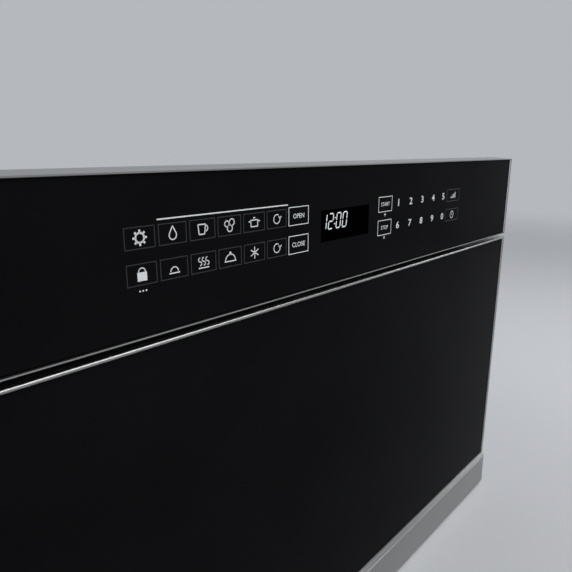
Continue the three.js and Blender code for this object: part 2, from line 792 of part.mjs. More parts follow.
piece("cavity_left_wall", "enamel", cavityWall(-1));
piece("cavity_right_wall", "enamel", cavityWall(1));
piece("cavity_floor", "enamel", cavityFloorSheet());
piece("cavity_back_wall", "enamel", cavityBackWall());
piece("cavity_roof", "enamel", cavityRoofSheet());
piece("stirrer_cover", "mica", stirrerCover());

// ---------------------------------------------------------------- stirrer and microwave feed

const vaneZ = roofTop + CHAMBER_H / 2 - STIRRER_DROP;

// Four tilted vanes on a hub, with the shaft that the motor turns.
function stirrerBlade() {
  const hub = rod("z", 0, CHAMBER_Y, STIRRER_HUB_R, vaneZ - STIRRER_HUB_H / 2, vaneZ + STIRRER_HUB_H / 2);
  const shaftTop = chamberTop + SHEET + FIT + STIRRER_MOTOR_H / 2 - 1;
  const shaft = rod("z", 0, CHAMBER_Y, STIRRER_SHAFT_R, vaneZ, shaftTop, 12);
  const root = (2 / 3) * STIRRER_HUB_R;
  const vanes = [0, 1, 2, 3].map((i) => {
    const vane = new THREE.BoxGeometry(STIRRER_R - root, VANE_W, VANE_T);
    vane.translate((STIRRER_R + root) / 2, 0, 0);
    vane.rotateX(VANE_TILT).rotateZ((i * Math.PI) / 2);
    vane.translate(0, CHAMBER_Y, vaneZ);
    return solidOf(vane);
  });
  return join(hub, shaft, ...vanes);
}

function stirrerMotor() {
  const foot = chamberTop + SHEET + FIT;
  const can = rod("z", 0, CHAMBER_Y, STIRRER_MOTOR_R, foot, foot + STIRRER_MOTOR_H, 28);
  const reach = STIRRER_MOTOR_R + STIRRER_EAR_OUT;
  const earHalf = STIRRER_EAR_W / 2;
  const ears = roundedRectangle(-reach, reach, CHAMBER_Y - earHalf, CHAMBER_Y + earHalf, earHalf - 1);
  const boreTop = foot + STIRRER_MOTOR_H / 2;
  const bore = rod("z", 0, CHAMBER_Y, STIRRER_SHAFT_R + RUNNING_FIT, foot - 1, boreTop, 16);
  return cut(join(can, prism("z", ears, foot, foot + STIRRER_EAR_T)), bore);
}

// A rectangular tube from the magnetron to the stirrer's chamber.
function waveguide() {
  const half = GUIDE_W / 2;
  const y0 = chamberBack + FIT;
  const y1 = rearBayFront + GUIDE_TAIL;
  const outside = block(-half, half, y0, y1, onRoof, onRoof + GUIDE_H);
  const inset = half - SHEET;
  const inside = block(-inset, inset, y0 - 1, y1 - SHEET, onRoof + SHEET, onRoof + GUIDE_H - SHEET);
  const antennaHole = rod("z", 0, magnetronY, ANTENNA_R + ANTENNA_CLEAR, onRoof - 1, onRoof + 2 * SHEET, 20);
  return cut(outside, inside, antennaHole);
}

// Yoke, anode with its cooling fins, antenna above and filter box below.
function magnetron() {
  const x = MAGNETRON_W / 2;
  const y = MAGNETRON_D / 2;
  const flangeY = y + YOKE_T;
  const yokeX = x - YOKE_IN;
  const foot = magnetronTop - MAGNETRON_H;
  const flangeFoot = magnetronTop - YOKE_T;
  const top = block(-x, x, magnetronY - flangeY, magnetronY + flangeY, flangeFoot, magnetronTop);
  const bottom = block(-yokeX, yokeX, magnetronY - y, magnetronY + y, foot, foot + YOKE_T);
  const plates = [-1, 1].map((side) => {
    const middle = magnetronY + side * (y - YOKE_T / 2);
    return block(-yokeX, yokeX, middle - YOKE_T / 2, middle + YOKE_T / 2, foot, magnetronTop);
  });
  const anode = rod("z", 0, magnetronY, ANODE_R, foot, magnetronTop, 24);
  const finPitch = (MAGNETRON_H - 2 * YOKE_T) / (MAGNETRON_FINS + 1);
  const finX = x - FIN_IN;
  const finY = y - YOKE_T / 2;
  const fins = Array.from({ length: MAGNETRON_FINS }, (_, i) => {
    const z = foot + YOKE_T + (i + 1) * finPitch;
    return block(-finX, finX, magnetronY - finY, magnetronY + finY, z - FIN_T / 2, z + FIN_T / 2);
  });
  const tip = onRoof + GUIDE_H - SHEET - ANTENNA_DROP;
  const antenna = rod("z", 0, magnetronY, ANTENNA_R, magnetronTop - 1, tip, 20);
  const boxX = FILTER_BOX_W / 2;
  const boxY = FILTER_BOX_D / 2;
  const boxTop = foot + YOKE_T / 2;
  const filterBox = block(-boxX, boxX, magnetronY - boxY, magnetronY + boxY, foot - FILTER_BOX_H, boxTop);
  return join(top, bottom, ...plates, anode, ...fins, antenna, filterBox);
}

piece("stirrer_blade", "aluminium", stirrerBlade());
piece("stirrer_motor", "zincSteel", stirrerMotor());
piece("waveguide", "zincSteel", waveguide());
piece("magnetron", "aluminium", magnetron());

// ---------------------------------------------------------------- cooling fan and duct

// A square shroud bored for the blade, with a spider that carries the motor.
function fanShroud() {
  const half = FAN_SIZE / 2;
  const frame = block(fanX, fanBack, fanY - half, fanY + half, fanZ - half, fanZ + half);
  const shell = cut(frame, rod("x", fanY, fanZ, FAN_BORE_R, fanX - 1, fanBack + 1, 32));
  const spider = fanBack - SPIDER_T;
  const reach = FAN_BORE_R + 2;
  const arms = [
    block(spider, fanBack, fanY - reach, fanY + reach, fanZ - SPIDER_ARM / 2, fanZ + SPIDER_ARM / 2),
    block(spider, fanBack, fanY - SPIDER_ARM / 2, fanY + SPIDER_ARM / 2, fanZ - reach, fanZ + reach),
  ];
  const ring = rod("x", fanY, fanZ, FAN_HUB_R + SPIDER_RING, spider, fanBack);
  const shaftHole = rod("x", fanY, fanZ, FAN_SHAFT_R + 2, spider - 1, fanBack + 1, 16);
  return cut(join(shell, ...arms, ring), shaftHole);
}

// One blade, lofted from root to tip: each station is a thin section turned by its pitch.
function bladeGeometry() {
  const stations = 5;
  const rootR = FAN_HUB_R - 2;
  const tipR = FAN_BORE_R - FAN_TIP_CLEAR;
  const corners = [];
  for (let i = 0; i < stations; i++) {
    const share = i / (stations - 1);
    const r = rootR + share * (tipR - rootR);
    const halfChord = THREE.MathUtils.lerp(BLADE_ROOT_W, BLADE_TIP_W, share) / 2;
    const pitch = THREE.MathUtils.lerp(BLADE_ROOT_PITCH, BLADE_TIP_PITCH, share);
    for (const [along, out] of [
      [-1, -1],
      [1, -1],
      [1, 1],
      [-1, 1],
    ]) {
      const chord = along * halfChord;
      const off = (out * BLADE_T) / 2;
      const x = chord * Math.sin(pitch) - off * Math.cos(pitch);
      const y = chord * Math.cos(pitch) + off * Math.sin(pitch);
      corners.push(x, y, r);
    }
  }
  const faces = [];
  const quad = (a, b, c, d) => faces.push(a, b, c, a, c, d);
  for (let i = 0; i < stations - 1; i++)
    for (let k = 0; k < 4; k++) {
      const a = 4 * i + k;
      const b = 4 * i + ((k + 1) % 4);
      quad(a, b, b + 4, a + 4);
    }
  const tip = 4 * (stations - 1);
  quad(3, 2, 1, 0);
  quad(tip, tip + 1, tip + 2, tip + 3);
  const geometry = new THREE.BufferGeometry();
  geometry.setAttribute("position", new THREE.Float32BufferAttribute(corners, 3));
  geometry.setIndex(faces);
  return geometry;
}

const fanHubX = fanX + FAN_DEPTH / 2 - 1;

function fanBlade() {
  const hub = rod("x", fanY, fanZ, FAN_HUB_R, fanHubX - FAN_HUB_L / 2, fanHubX + FAN_HUB_L / 2, 24);
  const shaft = rod("x", fanY, fanZ, FAN_SHAFT_R, fanHubX, fanBack + FIT + FAN_SHAFT_IN, 12);
  const blades = Array.from({ length: FAN_BLADES }, (_, i) => {
    const blade = bladeGeometry().rotateX((i * 2 * Math.PI) / FAN_BLADES);
    return solidOf(blade.translate(fanHubX, fanY, fanZ));
  });
  return join(hub, shaft, ...blades);
}

// A shaded-pole motor: bearing, laminated frame and coil.
function fanMotor() {
  const face = fanBack + FIT;
  const middle = face + FAN_MOTOR_L / 2;
  const centred = (thick, wide, z0, tall) =>
    block(middle - thick / 2, middle + thick / 2, fanY - wide / 2, fanY + wide / 2, z0, z0 + tall);
  const foot = fanZ + FAN_STACK_OVER - FAN_STACK_H;
  const bearing = rod("x", fanY, fanZ, FAN_MOTOR_R, face, face + FAN_MOTOR_L, 24);
  const stack = centred(FAN_STACK_T, FAN_STACK_W, foot, FAN_STACK_H);
  const coil = centred(FAN_COIL_T, FAN_COIL_W, foot + FAN_COIL_UP, FAN_COIL_H);
  const bore = rod("x", fanY, fanZ, FAN_SHAFT_R + RUNNING_FIT, face - 1, face + FAN_SHAFT_IN + FIT, 16);
  return cut(join(bearing, stack, coil), bore);
}

// A box with different ends: y and z limits at the near end and at the far end.
function hopper(x0, near, x1, far) {
  const corner = (x, [y0, y1, z0, z1]) => [x, y0, z0, x, y1, z0, x, y1, z1, x, y0, z1];
  const geometry = new THREE.BufferGeometry();
  const position = [...corner(x0, near), ...corner(x1, far)];
  geometry.setAttribute("position", new THREE.Float32BufferAttribute(position, 3));
  const quads = [
    [3, 2, 1, 0],
    [4, 5, 6, 7],
    [0, 1, 5, 4],
    [1, 2, 6, 5],
    [2, 3, 7, 6],
    [3, 0, 4, 7],
  ];
  geometry.setIndex(quads.flatMap(([a, b, c, d]) => [a, b, c, a, c, d]));
  return solidOf(geometry);
}

// The duct narrows from the fan's bore to the magnetron's fins.
function airDuct() {
  const x0 = MAGNETRON_W / 2 + FIT;
  const x1 = fanX - FIT;
  const half = FAN_SIZE / 2 - DUCT_END_IN;
  const near = [
    magnetronY - MAGNETRON_D / 2 - DUCT_LAP,
    magnetronY + MAGNETRON_D / 2 + DUCT_LAP,
    magnetronTop - MAGNETRON_H,
    magnetronTop - FIT,
  ];
  const far = [fanY - half, fanY + half, fanZ - half, fanZ + half];
  const shrink = ([y0, y1, z0, z1]) => [y0 + DUCT_WALL, y1 - DUCT_WALL, z0 + DUCT_WALL, z1 - DUCT_WALL];
  const throughX = 0.001;
  const inside = hopper(x0 - throughX, shrink(near), x1 + throughX, shrink(far));
  return cut(hopper(x0, near, x1, far), inside);
}

piece("fan_shroud", "blackPlastic", fanShroud());
piece("fan_blade", "whitePlastic", fanBlade());
piece("fan_motor", "lamination", fanMotor());
piece("air_duct", "blackPlastic", airDuct());

// ---------------------------------------------------------------- high-voltage supply

const coreY = rearBayFront + CORE_SETBACK;
const coreFoot = onBase + CORE_FOOT_T;
const windowH = CORE_H - 2 * CORE_LEG;

// E and I laminations: two windows beside a centre leg twice as wide as the outer legs.
function transformerCore() {
  const half = CORE_W / 2;
  const stack = rectangle(coreX - half, coreX + half, coreFoot, coreFoot + CORE_H);
  for (const side of [-1, 1]) {
    const [x0, x1] = across(side, CORE_LEG, half - CORE_LEG);
    const floor = coreFoot + CORE_LEG;
    stack.holes.push(rectangle(coreX + x0, coreX + x1, floor, floor + windowH));
  }
  const y0 = coreY - CORE_STACK / 2;
  const y1 = coreY + CORE_STACK / 2;
  const footHalf = half + CORE_FOOT;
  const foot = block(coreX - footHalf, coreX + footHalf, y0, y1, onBase, coreFoot + 1);
  return join(prism("y", stack, y0, y1), foot);
}

// A coil round the centre leg. Two of them share the windows, one above the other.
function coil(level) {
  const height = (windowH - 3 * FIT) / 2;
  const z0 = coreFoot + CORE_LEG + FIT + level * (height + FIT);
  const outX = CORE_W / 2 - CORE_LEG - FIT;
  const outY = CORE_STACK / 2 + COIL_OVER;
  const ring = roundedRectangle(coreX - outX, coreX + outX, coreY - outY, coreY + outY, COIL_R);
  const inX = CORE_LEG + FIT;
  const inY = CORE_STACK / 2 + FIT;
  ring.holes.push(rectangle(coreX - inX, coreX + inX, coreY - inY, coreY + inY));
  return prism("z", ring, z0, z0 + height);
}

const canY = coreY;

function canOutline(grow) {
  const r = CAN_D / 2 + grow;
  return roundedRectangle(canX - CAN_W / 2 - grow, canX + CAN_W / 2 + grow, canY - r, canY + r, r - 0.01);
}

function capacitor() {
  const can = prism("z", canOutline(0), onBase, onBase + CAN_H);
  const lid = onBase + CAN_H;
  const halfT = TERMINAL_T / 2;
  const terminals = [-1, 1].map((side) => {
    const x = canX + side * TERMINAL_OUT;
    const halfW = TERMINAL_W / 2;
    return block(x - halfW, x + halfW, canY - halfT, canY + halfT, lid - 1, lid + TERMINAL_H);
  });
  return join(can, ...terminals);
}

// A strap round the can, with a leg and a foot on the base.
function capacitorBracket() {
  const strap = canOutline(FIT + CLAMP_T);
  strap.holes.push(canOutline(FIT));
  const z = onBase + CAN_H / 3;
  const ring = prism("z", strap, z, z + CLAMP_H);
  const side = canY - CAN_D / 2 - FIT - CLAMP_T;
  const half = CLAMP_LEG_W / 2;
  const leg = block(canX - half, canX + half, side, side + CLAMP_T, onBase, z + 1);
  const footFront = side - CLAMP_FOOT_L;
  const foot = block(canX - half, canX + half, footFront, side + CLAMP_T / 2, onBase, onBase + CLAMP_T);
  return join(ring, leg, foot);
}

piece("transformer_core", "lamination", transformerCore());
piece("primary_coil", "copperWire", coil(0));
piece("secondary_coil", "copperWire", coil(1));
piece("capacitor", "aluminium", capacitor());
piece("capacitor_bracket", "zincSteel", capacitorBracket());

// ---------------------------------------------------------------- boards, lamp and sensor

// A circuit board on four posts, with its larger parts.
function board(x, y, z, width, depth, parts) {
  const sheetZ = z + STANDOFF_H;
  const sheet = block(x - width / 2, x + width / 2, y - depth / 2, y + depth / 2, sheetZ, sheetZ + BOARD_T);
  const posts = [-1, 1].flatMap((sx) =>
    [-1, 1].map((sy) => {
      const px = x + sx * (width / 2 - STANDOFF_IN);
      const py = y + sy * (depth / 2 - STANDOFF_IN);
      return rod("z", px, py, STANDOFF_R, z, sheetZ + BOARD_T / 2, 10);
    }),
  );
  return join(sheet, ...posts, ...parts(sheetZ + BOARD_T - 0.2));
}

// Relays at the back, then the supply and a finned heat sink, and a row of small cans in front.
function powerBoard() {
  const x = cavitySide - POWER_BOARD_IN - POWER_BOARD_W / 2;
  return board(x, POWER_BOARD_Y, onRoof, POWER_BOARD_W, POWER_BOARD_D, (top) => {
    const near = POWER_BOARD_Y - POWER_BOARD_D / 2 + BOARD_MARGIN;
    const left = x - POWER_BOARD_W / 2 + BOARD_MARGIN;
    const relayBack = POWER_BOARD_Y + POWER_BOARD_D / 2 - BOARD_MARGIN;
    const relayFront = relayBack - RELAY_D;
    const relays = Array.from({ length: RELAYS }, (_, i) => {
      const x0 = left + i * (RELAY_W + RELAY_GAP);
      return block(x0, x0 + RELAY_W, relayFront, relayBack, top, top + RELAY_H);
    });
    const supplyBack = relayFront - PART_GAP;
    const supplyFront = supplyBack - SUPPLY_D;
    const supply = block(left, left + SUPPLY_W, supplyFront, supplyBack, top, top + SUPPLY_H);
    const sinkLeft = left + SUPPLY_W + PART_GAP;
    const sink = Array.from({ length: SINK_FINS }, (_, i) => {
      const x0 = sinkLeft + i * (SINK_FIN_T + SINK_GAP);
      return block(x0, x0 + SINK_FIN_T, supplyFront, supplyBack, top, top + SINK_H);
    });
    const sinkRight = sinkLeft + SINK_FINS * (SINK_FIN_T + SINK_GAP) - SINK_GAP;
    const sinkWeb = block(sinkLeft, sinkRight, supplyBack - SINK_FIN_T, supplyBack, top, top + SINK_H);
    const cans = Array.from({ length: SMALL_CANS }, (_, i) => {
      const canLeft = left + i * (2 * SMALL_CAN_R + SMALL_CAN_GAP);
      return rod("z", canLeft + SMALL_CAN_R, near + SMALL_CAN_R, SMALL_CAN_R, top, top + SMALL_CAN_H, 14);
    });
    return [...relays, supply, ...sink, sinkWeb, ...cans];
  });
}

// A ring coil, a film capacitor and a fuse.
function noiseFilterBoard() {
  const x = caseInside - FILTER_BOARD_IN - FILTER_BOARD_W / 2;
  const y = rearBayFront + FILTER_SETBACK;
  return board(x, y, onBase, FILTER_BOARD_W, FILTER_BOARD_D, (top) => {
    const left = x - FILTER_BOARD_W / 2 + BOARD_MARGIN;
    const right = x + FILTER_BOARD_W / 2 - BOARD_MARGIN;
    const near = y - FILTER_BOARD_D / 2 + BOARD_MARGIN;
    const far = y + FILTER_BOARD_D / 2 - BOARD_MARGIN;
    const ringX = left + COIL_RING_R;
    const ring = cut(
      rod("z", ringX, y, COIL_RING_R, top, top + COIL_RING_H, 20),
      rod("z", ringX, y, COIL_RING_BORE_R, top + BOARD_T, top + COIL_RING_H + 1, 16),
    );
    const film = block(right - FILM_W, right, near, near + FILM_D, top, top + FILM_H);
    const fuse = rod("x", far, top + FUSE_R - 0.2, FUSE_R, right - FUSE_L, right, 10);
    return [ring, film, fuse];
  });
}

const lampX = cavitySide + SHEET + FIT;
const lampZ = cavityRoof - LAMP_DROP;

// A cup against the cavity's side that throws the light through the wall's holes.
function lampHolder() {
  const back = lampX + LAMP_CUP_L;
  const cup = rod("x", LAMP_Y, lampZ, LAMP_CUP_R + LAMP_CUP_WALL, lampX, back, 24);
  const room = rod("x", LAMP_Y, lampZ, LAMP_CUP_R, lampX - 1, back - LAMP_CUP_BACK, 24);
  const centred = (x0, x1, wide, tall) =>
    block(x0, x1, LAMP_Y - wide / 2, LAMP_Y + wide / 2, lampZ - tall / 2, lampZ + tall / 2);
  const ears = centred(lampX, lampX + LAMP_EAR_T, LAMP_EAR_L, LAMP_EAR_W);
  const socket = centred(back - 1, back + LAMP_SOCKET_L, LAMP_SOCKET_W, LAMP_SOCKET_H);
  return cut(join(cup, ears, socket), room);
}

function ovenLamp() {
  const depth = LAMP_CUP_L - LAMP_CUP_BACK;
  const seat = lampX + depth - FIT;
  const height = depth - LAMP_BULB_IN;
  const cap = [
    [0, 0],
    [LAMP_CAP_R, 0],
    [LAMP_CAP_R, LAMP_CAP_H],
  ];
  const profile = cap.map(([r, h]) => new THREE.Vector2(r, h));
  for (let i = 0; i <= 5; i++) {
    const turn = (i / 5) * (Math.PI / 2);
    const y = height - LAMP_BULB_R + LAMP_BULB_R * Math.sin(turn);
    profile.push(new THREE.Vector2(i === 5 ? 0 : LAMP_BULB_R * Math.cos(turn), y));
  }
  const bulb = new THREE.LatheGeometry(profile, 16);
  bulb.rotateZ(Math.PI / 2).translate(seat, LAMP_Y, lampZ);
  return solidOf(bulb);
}

function humiditySensor() {
  const halfW = 2 * SENSOR_R;
  const halfD = SENSOR_R + 2;
  const top = onRoof + SENSOR_BASE_T;
  const base = block(sensorX - halfW, sensorX + halfW, SENSOR_Y - halfD, SENSOR_Y + halfD, onRoof, top);
  const can = rod("z", sensorX, SENSOR_Y, SENSOR_R, top - 1, onRoof + SENSOR_H, 18);
  return join(base, can);
}

piece("power_board", "circuitBoard", powerBoard());
piece("noise_filter_board", "circuitBoard", noiseFilterBoard());
piece("lamp_holder", "zincSteel", lampHolder());
piece("oven_lamp", "clearGlass", ovenLamp());
piece("humidity_sensor", "whitePlastic", humiditySensor());

// ---------------------------------------------------------------- control panel

// A folded box, open at the front and back. Its top rises to a ridge and falls again towards the cabinet.
function panelTrim() {
  const back = plateFront - FIT;
  const roof = (beyond, inset) => [
    [back + beyond, frontTop - CAP_FALL - inset],
    [RIDGE_Y, frontTop - inset],
    [-BEZEL_PROUD, capFront - inset],
  ];
  const outside = [[-BEZEL_PROUD, panelFoot], [back, panelFoot], ...roof(0, 0)];
  const inside = [
    [-BEZEL_PROUD - 1, panelFoot + BEZEL],
    [back + 1, panelFoot + BEZEL],
    ...roof(1, BEZEL),
    [-BEZEL_PROUD - 1, capFront - BEZEL],
  ];
  const end = halfFront - BEZEL;
  return cut(prism("x", outside, -halfFront, halfFront), prism("x", inside, -end, end));
}

const panelInsideFoot = panelFoot + BEZEL + FIT;
const panelInsideTop = capFront - BEZEL - FIT;

function panelGlass() {
  const sheet = rectangle(-insideBezel, insideBezel, panelInsideFoot, panelInsideTop);
  return prism("y", sheet, 0, GLASS_T, GLASS_EDGE);
}

const boardSeat = glassBack + BOARD_T + FIT;
const housingBack = plateFront - 2 * FIT;

// A moulded tub with ribs between its cells. The touch board rests on the ribs.
function panelHousing() {
  const wall = HOUSING_WALL;
  const tub = block(-insideBezel, insideBezel, glassBack, housingBack, panelInsideFoot, panelInsideTop);
  const inside = insideBezel - wall;
  const cellW = (2 * inside - (HOUSING_CELLS - 1) * wall) / HOUSING_CELLS;
  const cells = Array.from({ length: HOUSING_CELLS }, (_, i) => {
    const x = -inside + i * (cellW + wall);
    const top = panelInsideTop - wall;
    return block(x, x + cellW, glassBack - 1, housingBack - wall, panelInsideFoot + wall, top);
  });
  const seat = block(-boardHalfW, boardHalfW, glassBack - 1, boardSeat, boardFoot - FIT, boardTop + FIT);
  const half = DISPLAY_W / 2 + FIT;
  const deep = glassBack + DISPLAY_T + FIT;
  const nook = block(-half, half, glassBack - 1, deep, displayFoot - FIT, displayTop + FIT);
  return cut(tub, ...cells, seat, nook);
}

const boardHalfW = insideBezel - HOUSING_WALL / 2;
const boardFoot = panelInsideFoot + HOUSING_WALL / 2;
const boardTop = panelInsideTop - HOUSING_WALL / 2;
const displayFoot = panelFoot + DISPLAY_Z - DISPLAY_H / 2;
const displayTop = displayFoot + DISPLAY_H;

function touchBoard() {
  const edge = boardHalfW - FIT;
  const sheet = rectangle(-edge, edge, boardFoot, boardTop);
  const half = DISPLAY_W / 2 + FIT;
  sheet.holes.push(rectangle(-half, half, displayFoot - FIT, displayTop + FIT));
  return prism("y", sheet, glassBack, glassBack + BOARD_T);
}

function displayModule() {
  const half = DISPLAY_W / 2;
  return block(-half, half, glassBack, glassBack + DISPLAY_T, displayFoot, displayTop);
}

piece("control_panel_trim", "brushedSteel", panelTrim());
piece("control_panel_glass", "blackGlass", panelGlass());
piece("control_panel_housing", "blackPlastic", panelHousing());
piece("touch_board", "circuitBoard", touchBoard());
piece("display_module", "blackPlastic", displayModule());

// ---------------------------------------------------------------- drawer front

// Thin sides, and a thicker top with a bright facet in front, a fine groove and a flat band behind it.
function drawerEdgeTrim() {
  const foot = stripTop + FIT;
  const underside = drawerTop - TOP_TRIM_T;
  const facetBack = FACET_D - BEZEL_PROUD;
  const outside = [
    [-BEZEL_PROUD, foot],
    [doorBack, foot],
    [doorBack, underside],
    [TOP_TRIM_D, drawerTop],
    [facetBack + TRIM_GROOVE, drawerTop],
    [facetBack + TRIM_GROOVE / 2, drawerTop - TRIM_GROOVE],
    [facetBack, drawerTop],
    [-BEZEL_PROUD, drawerTop - FACET_RISE],
  ];
  const inside = [
    [-BEZEL_PROUD - 1, foot - 1],
    [doorBack + 1, foot - 1],
    [doorBack + 1, drawerTop + 1],
    [TOP_TRIM_D, drawerTop + 1],
    [TOP_TRIM_D, underside],
    [-BEZEL_PROUD - 1, underside],
  ];
  const end = halfFront - BEZEL;
  return cut(prism("x", outside, -halfFront, halfFront), prism("x", inside, -end, end));
}

const glassFoot = stripTop + FIT;
const glassTop = drawerTop - TOP_TRIM_T - FIT;

function drawerGlass() {
  const sheet = rectangle(-insideBezel, insideBezel, glassFoot, glassTop);
  return prism("y", sheet, 0, GLASS_T, GLASS_EDGE);
}

// A folded stainless strip: a lip on top that reaches forward, the face below it, and a foot turned in.
function lowerStrip() {
  const noseZ = stripTop - LIP_DROP;
  const nose = arc(LIP_NOSE_R - LIP_REACH, noseZ, LIP_NOSE_R, 1, 2, 3);
  const path = [
    [GLASS_T, stripTop],
    [-LIP_FLAT, stripTop],
    ...nose,
    [-STRIP_PROUD_TOP, noseZ - LIP_TUCK],
    [-STRIP_PROUD_FOOT, FLOOR_CLEAR],
    [doorBack, FLOOR_CLEAR],
  ];
  const cheek = [...path, [doorBack, stripTop - 0.01]];
  const cheeks = [-1, 1].map((side) => prism("x", cheek, ...across(side, halfFront - BEZEL, halfFront)));
  return join(prism("x", bentSheet(path, SHEET / 2), -halfFront, halfFront), ...cheeks);
}

const chokeIn = cavitySide + CHOKE_INSET;
const chokeOut = chokeIn + CHOKE_W;

function chokeRing(y0, y1, lap) {
  const out = chokeOut + lap;
  const inside = chokeIn - lap;
  const rise = CHOKE_INSET + CHOKE_W + lap;
  const ring = rectangle(-out, out, cavityFloor - rise, cavityRoof + rise);
  const dip = CHOKE_INSET - lap;
  ring.holes.push(rectangle(-inside, inside, cavityFloor - dip, cavityRoof + dip));
  return prism("y", ring, y0, y1);
}

// A folded frame, open towards the glass: rim, back sheet, the choke's trough and the window's surround.
function drawerFrame() {
  const t = FRAME_T;
  const foot = FLOOR_CLEAR + SHEET + FIT;
  const slab = (inset, y0, y1) =>
    block(-insideBezel + inset, insideBezel - inset, y0, y1, foot + inset, glassTop - inset);
  const shell = cut(slab(0, glassBack, doorBack), slab(t, 0, doorBack - t));
  const trough = chokeRing(doorBack - CHOKE_D - t, doorBack, t);
  const groove = chokeRing(doorBack - CHOKE_D, doorBack + 1, 0);
  const opening = (grow, y0, y1) => {
    const half = WINDOW_W / 2 + grow;
    return block(-half, half, y0, y1, windowFoot - grow, windowTop + grow);
  };
  const seatBack = glassBack + SCREEN_SET;
  const seatFront = doorBack - PANE_T - 2 * FIT;
  const surround = join(
    opening(REBATE + t, glassBack, seatBack + t),
    opening(t, glassBack, doorBack),
    opening(REBATE + t, seatFront - t, doorBack),
  );
  const rebates = [opening(REBATE, 0, seatBack), opening(REBATE, seatFront, STAND_OFF)];
  return cut(join(shell, trough, surround), opening(0, 0, STAND_OFF), ...rebates, groove);
}

function inWindowRebate(y0, y1) {
  const half = WINDOW_W / 2 + REBATE - FIT;
  return block(-half, half, y0, y1, windowFoot - REBATE + FIT, windowTop + REBATE - FIT);
}

const screenBack = glassBack + SCREEN_SET - FIT;

piece("drawer_edge_trim", "brushedSteel", drawerEdgeTrim());
piece("drawer_glass", "blackGlass", drawerGlass());
piece("drawer_lower_strip", "brushedSteel", lowerStrip());
piece("drawer_frame", "blackEnamel", drawerFrame());
piece("window_screen", "blackEnamel", inWindowRebate(screenBack - SCREEN_T, screenBack));
piece("inner_window", "clearGlass", inWindowRebate(doorBack - PANE_T - FIT, doorBack - FIT));
piece("choke_cover", "blackPlastic", chokeRing(behindDoor, behindDoor + CHOKE_COVER_T, 0.5));

// ---------------------------------------------------------------- drawer pan

// A deep tray with round back corners and a rolled rim. It is open towards the door, which closes it.
function drawerPan() {
  const front = behindDoor + FIT;
  const beyond = front - 2 * PAN_R;
  const shell = (inset) => {
    const half = panHalf - inset;
    return roundedRectangle(-half, half, beyond, panBack - inset, PAN_R - inset);
  };
  const outside = prism("z", shell(0), panFloor, panFloor + PAN_H);
  const rim = prism("z", shell(-PAN_RIM), panFloor + PAN_H - PAN_T, panFloor + PAN_H);
  const inside = prism("z", shell(PAN_T), panFloor + PAN_T, panFloor + PAN_H + 1);
  const openFront = block(-CAVITY_W, CAVITY_W, beyond - 1, front, 0, cavityRoof);
  return cut(join(outside, rim), inside, openFront);
}

function ceramicFloor() {
  const half = panHalf - PAN_T - TILE_CLEAR;
  const z = panFloor + PAN_T + FIT;
  const front = behindDoor + 2 * TILE_CLEAR;
  const tile = roundedRectangle(-half, half, front, panBack - PAN_T - TILE_CLEAR, PAN_R - PAN_T - TILE_CLEAR);
  return prism("z", tile, z, z + FLOOR_TILE_T);
}

piece("drawer_pan", "enamel", drawerPan());
piece("ceramic_floor", "ceramic", ceramicFloor());

// ---------------------------------------------------------------- telescopic slides

// Sections are drawn from the case's side inwards, so that a is the distance from it.
const railPlace = (side, section) => section.map(([a, z]) => [side * (railWall - a), RAIL_Z + z]);

function channelSection(start, depth, halfHeight, lip) {
  const t = RAIL_T;
  const end = start + depth;
  return [
    [start, -halfHeight],
    [end, -halfHeight],
    [end, -halfHeight + lip],
    [end - t, -halfHeight + lip],
    [end - t, -halfHeight + t],
    [start + t, -halfHeight + t],
    [start + t, halfHeight - t],
    [end - t, halfHeight - t],
    [end - t, halfHeight - lip],
    [end, halfHeight - lip],
    [end, halfHeight],
    [start, halfHeight],
  ];
}

// The inner rail faces the other way, and its edges turn out behind the middle rail's lips.
function innerSection() {
  const t = RAIL_T;
  const back = 2 * (t + RAIL_PLAY);
  const web = RAIL_W;
  const reach = RAIL_H / 2 - 2 * (t + RAIL_PLAY);
  const waist = midHalf - MID_RAIL_LIP - RAIL_PLAY;
  return [
    [web, -waist],
    [web, waist],
    [back + t, waist],
    [back + t, reach],
    [back, reach],
    [back, waist - t],
    [web - t, waist - t],
    [web - t, -waist + t],
    [back, -waist + t],
    [back, -reach],
    [back + t, -reach],
    [back + t, -waist],
  ];
}

const midHalf = RAIL_H / 2 - RAIL_T - RAIL_PLAY;
const railEnd = RAIL_START + RAIL_L;

function outerRail(side) {
  const section = channelSection(0, RAIL_W, RAIL_H / 2, RAIL_LIP);
  return prism("y", railPlace(side, section), RAIL_START, railEnd);
}

function middleRail(side) {
  const inset = RAIL_T + RAIL_PLAY;
  const section = channelSection(inset, RAIL_W - 2 * inset, midHalf, MID_RAIL_LIP);
  return prism("y", railPlace(side, section), RAIL_START, railEnd);
}

// The inner rail runs out to the door and ends in a foot that is bolted to it.
function innerRail(side) {
  const bar = prism("y", railPlace(side, innerSection()), behindDoor, railEnd);
  const [x0, x1] = across(side, railWall - RAIL_W - RAIL_FOOT_W, railWall - RAIL_W + RAIL_T / 2);
  const foot = roundedRectangle(x0, x1, RAIL_Z - RAIL_FOOT_H / 2, RAIL_Z + RAIL_FOOT_H / 2, 3);
  return join(bar, prism("y", foot, behindDoor, behindDoor + FOOT_T));
}

for (const [name, side] of [
  ["left", -1],
  ["right", 1],
]) {
  piece(`${name}_outer_rail`, "zincSteel", outerRail(side));
  piece(`${name}_mid_rail`, "zincSteel", middleRail(side));
  piece(`${name}_inner_rail`, "zincSteel", innerRail(side));
}

// ---------------------------------------------------------------- rack and pinion drive

const pinionX = RACK_X - pinionR;

